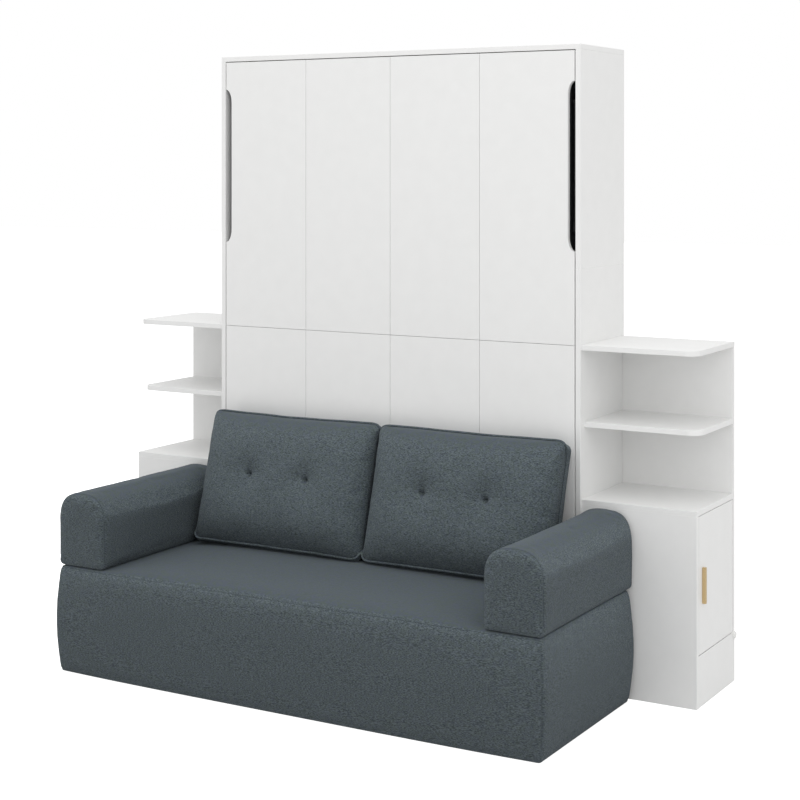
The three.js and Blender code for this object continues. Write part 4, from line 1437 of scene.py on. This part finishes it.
@dataclass(frozen=True)
class SoftBlock:
    """A foam block in a sewn cover: round corners and rims, and sides that stand proud of them."""

    corner: float
    rim: float
    draw_in: float
    crown: float
    flat_foot: bool = False
    foot_draws: tuple[float, float] | None = None
    seam_foot_draw: float = 3.0

    def drawn(self, first: np.ndarray, up: np.ndarray, side: int) -> np.ndarray:
        """How many times its draw-in a side falls back at its points.

        Args:
            first: Shares along the side.
            up: Shares of the height.
            side: 0 for the sides that face along X, 1 for those that face along Y.

        Returns:
            Nothing in the side's middle and once at its upright seams. A bellied side falls back
            more at its foot and its top edge.
        """
        if self.foot_draws is None:
            return 1 - proud_share(first, up)
        foot, seam = self.foot_draws[side], np.abs(first) ** 4
        return seam + up**2 * (foot + (self.seam_foot_draw - 1 - foot) * seam)

    def form(self, shares: np.ndarray, half: np.ndarray, crown_share: np.ndarray) -> np.ndarray:
        """Places of the block's points round its own middle, lying flat.

        Args:
            shares: Each point's place on the unit box.
            half: Half the block's size without its crown.
            crown_share: How much of the crown each point has.

        Returns:
            Places in metres.
        """
        flat = shares * half
        x, y = round_corners(flat[:, 0], flat[:, 1], half[0], half[1], self.corner)
        size = np.abs(flat)
        inset = np.minimum(half[0] - size[:, 0], half[1] - size[:, 1])
        drop = half[2] - size[:, 2]
        on_rim = (inset < self.rim) & (drop < self.rim)
        out = np.column_stack([inset, drop]) - self.rim
        length = np.maximum(np.linalg.norm(out, axis=1), TINY)
        rolled = self.rim + out * (self.rim / length)[:, None]
        toward = unit(np.sign(flat[:, :2]) * np.maximum(0, size[:, :2] - half[:2] + self.rim))
        step = np.where(on_rim, inset - rolled[:, 0], 0.0)
        x, y = x + toward[:, 0] * step, y + toward[:, 1] * step
        z = np.where(on_rim, np.sign(flat[:, 2]) * (half[2] - rolled[:, 1]), flat[:, 2])
        across, along, up = shares.T
        x = x - across * self.draw_in * self.drawn(along, up, 0)
        y = y - along * self.draw_in * self.drawn(across, up, 1)
        crowned = (up == 1) | ((up == -1) & (not self.flat_foot))
        z = z + np.where(crowned, up * self.crown * crown_share, 0.0)
        return np.column_stack([x, y, z])


@dataclass(frozen=True)
class SofaSeat:
    """The seat: one upholstered block on the floor, sewn at its corners and top edges."""

    height: float = 366 * MM
    crown_end: float = 0.77
    crown_powers: tuple[int, int] = (6, 12)
    grid_step: float = 19 * MM
    edge_step: float = 5 * MM
    edge_count: int = 7
    seam_depth: float = 2.2 * MM
    top_seam_share: float = 0.8
    seam_width: float = 5 * MM
    slack_start: float = 4 * MM
    swells: tuple[Swell, ...] = ((1.4 * MM, 0.17, 0.0), (0.7 * MM, 0.06, 2.0))
    seed: float = 11.0
    # Dark cords in the seams stand for the seams' shade: painted seam shade.
    corner_seam_shade: float = 0.9 * MM
    corner_seam_shade_proud: float = 0.3 * MM
    top_thread: float = 0.8 * MM
    seam_shade_foot_share: float = -0.97
    block: SoftBlock = SoftBlock(
        corner=11 * MM, rim=16 * MM, draw_in=6 * MM, crown=20 * MM, flat_foot=True, foot_draws=(3.0, 1.0),
    )

    def build(self) -> None:
        """Makes the filled cover and the dark cords of painted seam shade in its seams."""
        low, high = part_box("seat_block")
        half = np.array((high - low) / 2)
        half[2] = self.height / 2
        lines = tuple(grid_lines(length, self.grid_step, self.edge_step, self.edge_count) for length in half)
        shares, faces = box_grid(lines)
        size = np.abs(shares)
        power_across, power_along = self.crown_powers
        crown = 1 - np.minimum(size[:, 0] / self.crown_end, 1) ** power_across
        crown *= 1 - size[:, 1] ** power_along
        points = self.block.form(shares, half, crown)
        at_side = size[:, :2] == 1
        on_side = at_side.any(axis=1) & (size[:, 2] < 1)
        points[:, :2] -= np.where(on_side[:, None], np.sign(shares[:, :2]) * at_side, 0.0) * self.slack_start
        cover = mesh_piece("seat_block_cover", points, faces, BOUCLE)
        Filling(pressure=5.0).swell(cover, (size[:, 2] == 1) | at_side.all(axis=1))
        points = read_points(cover.data)
        normals = read_normals(cover.data)
        top_seam = (shares[:, 2] == 1) & at_side.any(axis=1)
        corner_away = np.maximum((1 - size[:, 0]) * half[0], (1 - size[:, 1]) * half[1])
        push = uneven(points, self.swells, self.seed) * on_side
        push -= self.seam_depth * (bell(corner_away, self.seam_width) + self.top_seam_share * top_seam)
        points += normals * push[:, None]
        points[:, 2] = np.maximum(points[:, 2], -half[2])
        write_points(cover.data, points)
        smoothed(cover)
        pieces = [cover]
        # Dark cords down the corner seams and along the top front seam: painted seam shade.
        for across, along in ((-1, -1), (-1, 1), (1, -1), (1, 1)):
            at_corner = (shares[:, 0] == across) & (shares[:, 1] == along)
            chosen = np.flatnonzero(at_corner & (shares[:, 2] > self.seam_shade_foot_share))
            order = chosen[np.argsort(shares[chosen, 2])]
            word = f"{'right' if across > 0 else 'left'}_{'rear' if along > 0 else 'front'}"
            path = points[order] + normals[order] * self.corner_seam_shade_proud
            pieces.append(seam_cord(
                f"seat_{word}_thread", path, normals[order], self.corner_seam_shade, ThreadAndSeamShade(), closed=False,
            ))
        chosen = np.flatnonzero(top_seam & (shares[:, 1] == -1))
        order = chosen[np.argsort(shares[chosen, 0])]
        pieces.append(seam_cord(
            "seat_top_thread", points[order], normals[order], self.top_thread, PAINTED_SEAM_SHADE, closed=False,
        ))
        for piece in pieces:
            piece.data.transform(Matrix.Translation(((low.x + high.x) / 2, (low.y + high.y) / 2, half[2])))
        upholster(pieces, "seat_block", "carcass")


@dataclass(frozen=True)
class Mattress:
    """The mattress: quilted ticking with a cord round both faces, held by a webbing strap."""

    grid_step: float = 13 * MM
    edge_step: float = 6 * MM
    edge_count: int = 5
    quilt_size: float = 152 * MM
    quilt_depth: float = 7 * MM
    quilt_margin: float = 40 * MM
    cord_radius: float = 4 * MM
    strap_width: float = 50 * MM
    strap_thickness: float = 1.5 * MM
    strap_corner: float = 14 * MM
    strap_side_rows: int = 8
    strap_top_rows: int = 60
    strap_columns: int = 7
    block: SoftBlock = SoftBlock(corner=55 * MM, rim=26 * MM, draw_in=5 * MM, crown=5 * MM)

    def build(self) -> None:
        """Makes the quilted cover, its cords and the strap."""
        low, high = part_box("mattress")
        width, thickness, length = high - low
        half = np.array([width, length, thickness - 2 * self.block.crown]) / 2
        lines = tuple(grid_lines(side, self.grid_step, self.edge_step, self.edge_count) for side in half)
        shares, faces = box_grid(lines)
        points = self.block.form(shares, half, proud_share(shares[:, 0], shares[:, 1]))
        cover = mesh_piece("mattress_cover", points, faces, TICKING)
        normals = read_normals(cover.data)
        first = (points[:, 0] + points[:, 1]) / self.quilt_size
        second = (points[:, 0] - points[:, 1]) / self.quilt_size
        pillow = np.abs(np.sin(first * math.pi) * np.sin(second * math.pi)) ** 0.5
        from_edge = ((1 - np.abs(shares[:, :2])) * half[:2]).min(axis=1)
        quilted = np.abs(normals[:, 2]) ** 4 * np.clip(from_edge / self.quilt_margin, 0, 1)
        points -= normals * (self.quilt_depth * (1 - pillow) * quilted)[:, None]
        write_points(cover.data, points)
        rim = (np.abs(shares[:, :2]) == 1).any(axis=1)
        pieces = [cover]
        for label, end in (("sleeping", -1), ("slat", 1)):
            chosen = np.flatnonzero(rim & (shares[:, 2] == end))
            order = chosen[np.argsort(np.arctan2(shares[chosen, 1], shares[chosen, 0]))]
            pieces.append(seam_cord(
                f"mattress_{label}_cord", points[order], normals[order], self.cord_radius, TICKING,
            ))
        place = Matrix.Translation((low + high) / 2) @ Matrix.Rotation(math.pi / 2, 4, "X")
        for piece in pieces:
            piece.data.transform(place)
        upholster(pieces, "mattress", "bed")
        self.build_strap()

    def build_strap(self) -> None:
        """Makes the strap over the mattress."""
        low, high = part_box("mattress_strap")
        outer = high.x - self.strap_thickness / 2
        over = high.y - self.strap_thickness / 2
        rise = over - low.y - self.strap_corner
        side = [(-outer, low.y + share * rise) for share in np.linspace(0, 1, self.strap_side_rows)]
        for turn in np.linspace(math.pi, math.pi / 2, self.strap_side_rows)[1:]:
            across = -outer + self.strap_corner * (1 + math.cos(turn))
            side.append((across, over - self.strap_corner * (1 - math.sin(turn))))
        straight = outer - self.strap_corner
        top = [(x, over) for x in np.linspace(-straight, straight, self.strap_top_rows)[1:-1]]
        rows = np.array([*side, *top, *((-x, y) for x, y in reversed(side))])
        columns = np.linspace(low.z, high.z, self.strap_columns)
        points = [(x, y, z) for x, y in rows for z in columns]
        faces = quads(len(rows), len(columns), loop_columns=False)
        strap = mesh_piece("mattress_strap_webbing", points, faces, WEBBING)
        body = strap.modifiers.new("webbing_thickness", "SOLIDIFY")
        body.thickness = self.strap_thickness
        body.offset = 0.0
        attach(strap, "bed")
        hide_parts("mattress_strap")


# Sub-assemblies of board and steel


@dataclass(frozen=True)
class Cabinet:
    """The cabinet that the bed folds into, with the brackets and anchors of its mechanism."""

    plate: float = 3 * MM
    # Y and Z of each screw from the hinge and from the middle of the anchor.
    bracket_screws: tuple[tuple[float, float], ...] = (
        (-28 * MM, -58 * MM), (28 * MM, -58 * MM), (-29 * MM, -24 * MM), (29 * MM, -24 * MM),
    )
    anchor_screws: tuple[tuple[float, float], ...] = ((0.0, -27 * MM), (0.0, 27 * MM))
    # The bracket's screws are countersunk, because the bed's face panels pass 0.5 mm from the plate.
    bracket_head: ScrewHead = ScrewHead(height=0.35 * MM)
    anchor_head: ScrewHead = ScrewHead()

    def build(self) -> None:
        """Dresses the boards and plates and adds the screws."""
        words = [side.word for side in Side]
        dress(Slot.BOARD, ["cabinet_top", "cabinet_back", "kick_panel"])
        dress(Slot.BOARD, [f"cabinet_side_{part}_{word}" for part in ("lower", "upper") for word in words])
        dress(Slot.STEEL, [f"{part}_{word}" for part in ("pivot_bracket", "strut_anchor") for word in words])
        for side in Side:
            inward = Vector((-side.value, 0.0, 0.0))
            low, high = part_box(f"pivot_bracket_{side.word}")
            face = side.pick(low.x, high.x) - side.value * self.plate
            hinge = Vector((face, (low.y + high.y) / 2, high.z - (high.y - low.y) / 2))
            seats = [hinge + Vector((0.0, *offset)) for offset in self.bracket_screws]
            self.bracket_head.fit(f"bracket_screws_{side.word}", seats, inward, "carcass")
            low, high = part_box(f"strut_anchor_{side.word}")
            face = side.pick(low.x, high.x) - side.value * self.plate
            middle = Vector((face, (low.y + high.y) / 2, (low.z + high.z) / 2))
            seats = [middle + Vector((0.0, *offset)) for offset in self.anchor_screws]
            self.anchor_head.fit(f"anchor_screws_{side.word}", seats, inward, "carcass")


@dataclass(frozen=True)
class FoldingBed:
    """The bed that folds up: face panels, steel frame, slats, legs and gas struts."""

    panels: int = 4

    def build(self) -> None:
        """Dresses the panels, rails, slats, legs and struts."""
        numbers = range(1, self.panels + 1)
        dress(Slot.BOARD, [f"face_{row}_{number}" for row in ("lower", "upper") for number in numbers])
        dress(Slot.STEEL, ["head_rail", "mid_rail", "foot_rail"])
        for side in Side:
            steel = ("side_rail", "support_leg", "strut_cylinder")
            dress(Slot.STEEL, [f"{part}_{side.word}" for part in steel])
            dress(Slot.CHROME, [f"strut_rod_{side.word}"])
        dress(Slot.BIRCH, ["slat_set"])


@dataclass(frozen=True)
class ShelfUnit:
    """A shelf unit beside the cabinet, with a side door on pivots and a brass handle."""

    side: Side
    boards: tuple[str, ...] = (
        "base_front", "base_inner_side", "unit_back", "kick_rail", "base_floor", "base_top",
        "shelf_middle", "shelf_top", "door",
    )
    handle_head: ScrewHead = ScrewHead(radius=3.8 * MM, height=2.2 * MM, socket=1.7 * MM)
    screw_inset: float = 5 * MM

    def build(self) -> None:
        """Dresses the unit's boards, door, pivots and handle and adds the handle's screws."""
        word = self.side.word
        dress(Slot.BOARD, [f"{board}_{word}" for board in self.boards])
        dress(Slot.BRASS, [f"door_handle_{word}"])
        dress(Slot.PLASTIC, [f"door_pivot_{word}"])
        low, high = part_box(f"door_handle_{word}")
        door_low, door_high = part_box(f"door_{word}")
        inner = self.side.pick(door_high.x, door_low.x)
        heights = (low.z + self.screw_inset, high.z - self.screw_inset)
        seats = [Vector((inner, (low.y + high.y) / 2, z)) for z in heights]
        inward = Vector((-self.side.value, 0.0, 0.0))
        self.handle_head.fit(f"handle_screws_{word}", seats, inward, f"unit_door_{word}")


def main() -> None:
    """Builds the scene piece by piece."""
    logging.basicConfig(level=logging.INFO, format="%(message)s")
    PhotoView().set_up()
    Studio().set_up()
    steps: list[tuple[str, Callable[[], None]]] = [
        ("cabinet", Cabinet().build),
        ("folding bed", FoldingBed().build),
        ("mattress and strap", Mattress().build),
        ("sofa seat", SofaSeat().build),
    ]
    for side in Side:
        steps.append((f"{side.word} shelf unit", ShelfUnit(side).build))
        steps.append((f"{side.word} arm", SofaArm(side).build))
        steps.append((f"{side.word} back cushion", BackCushion(side).build))
    for title, build in steps:
        build()
        LOG.info("built %s", title)


if __name__ == "__main__":
    main()
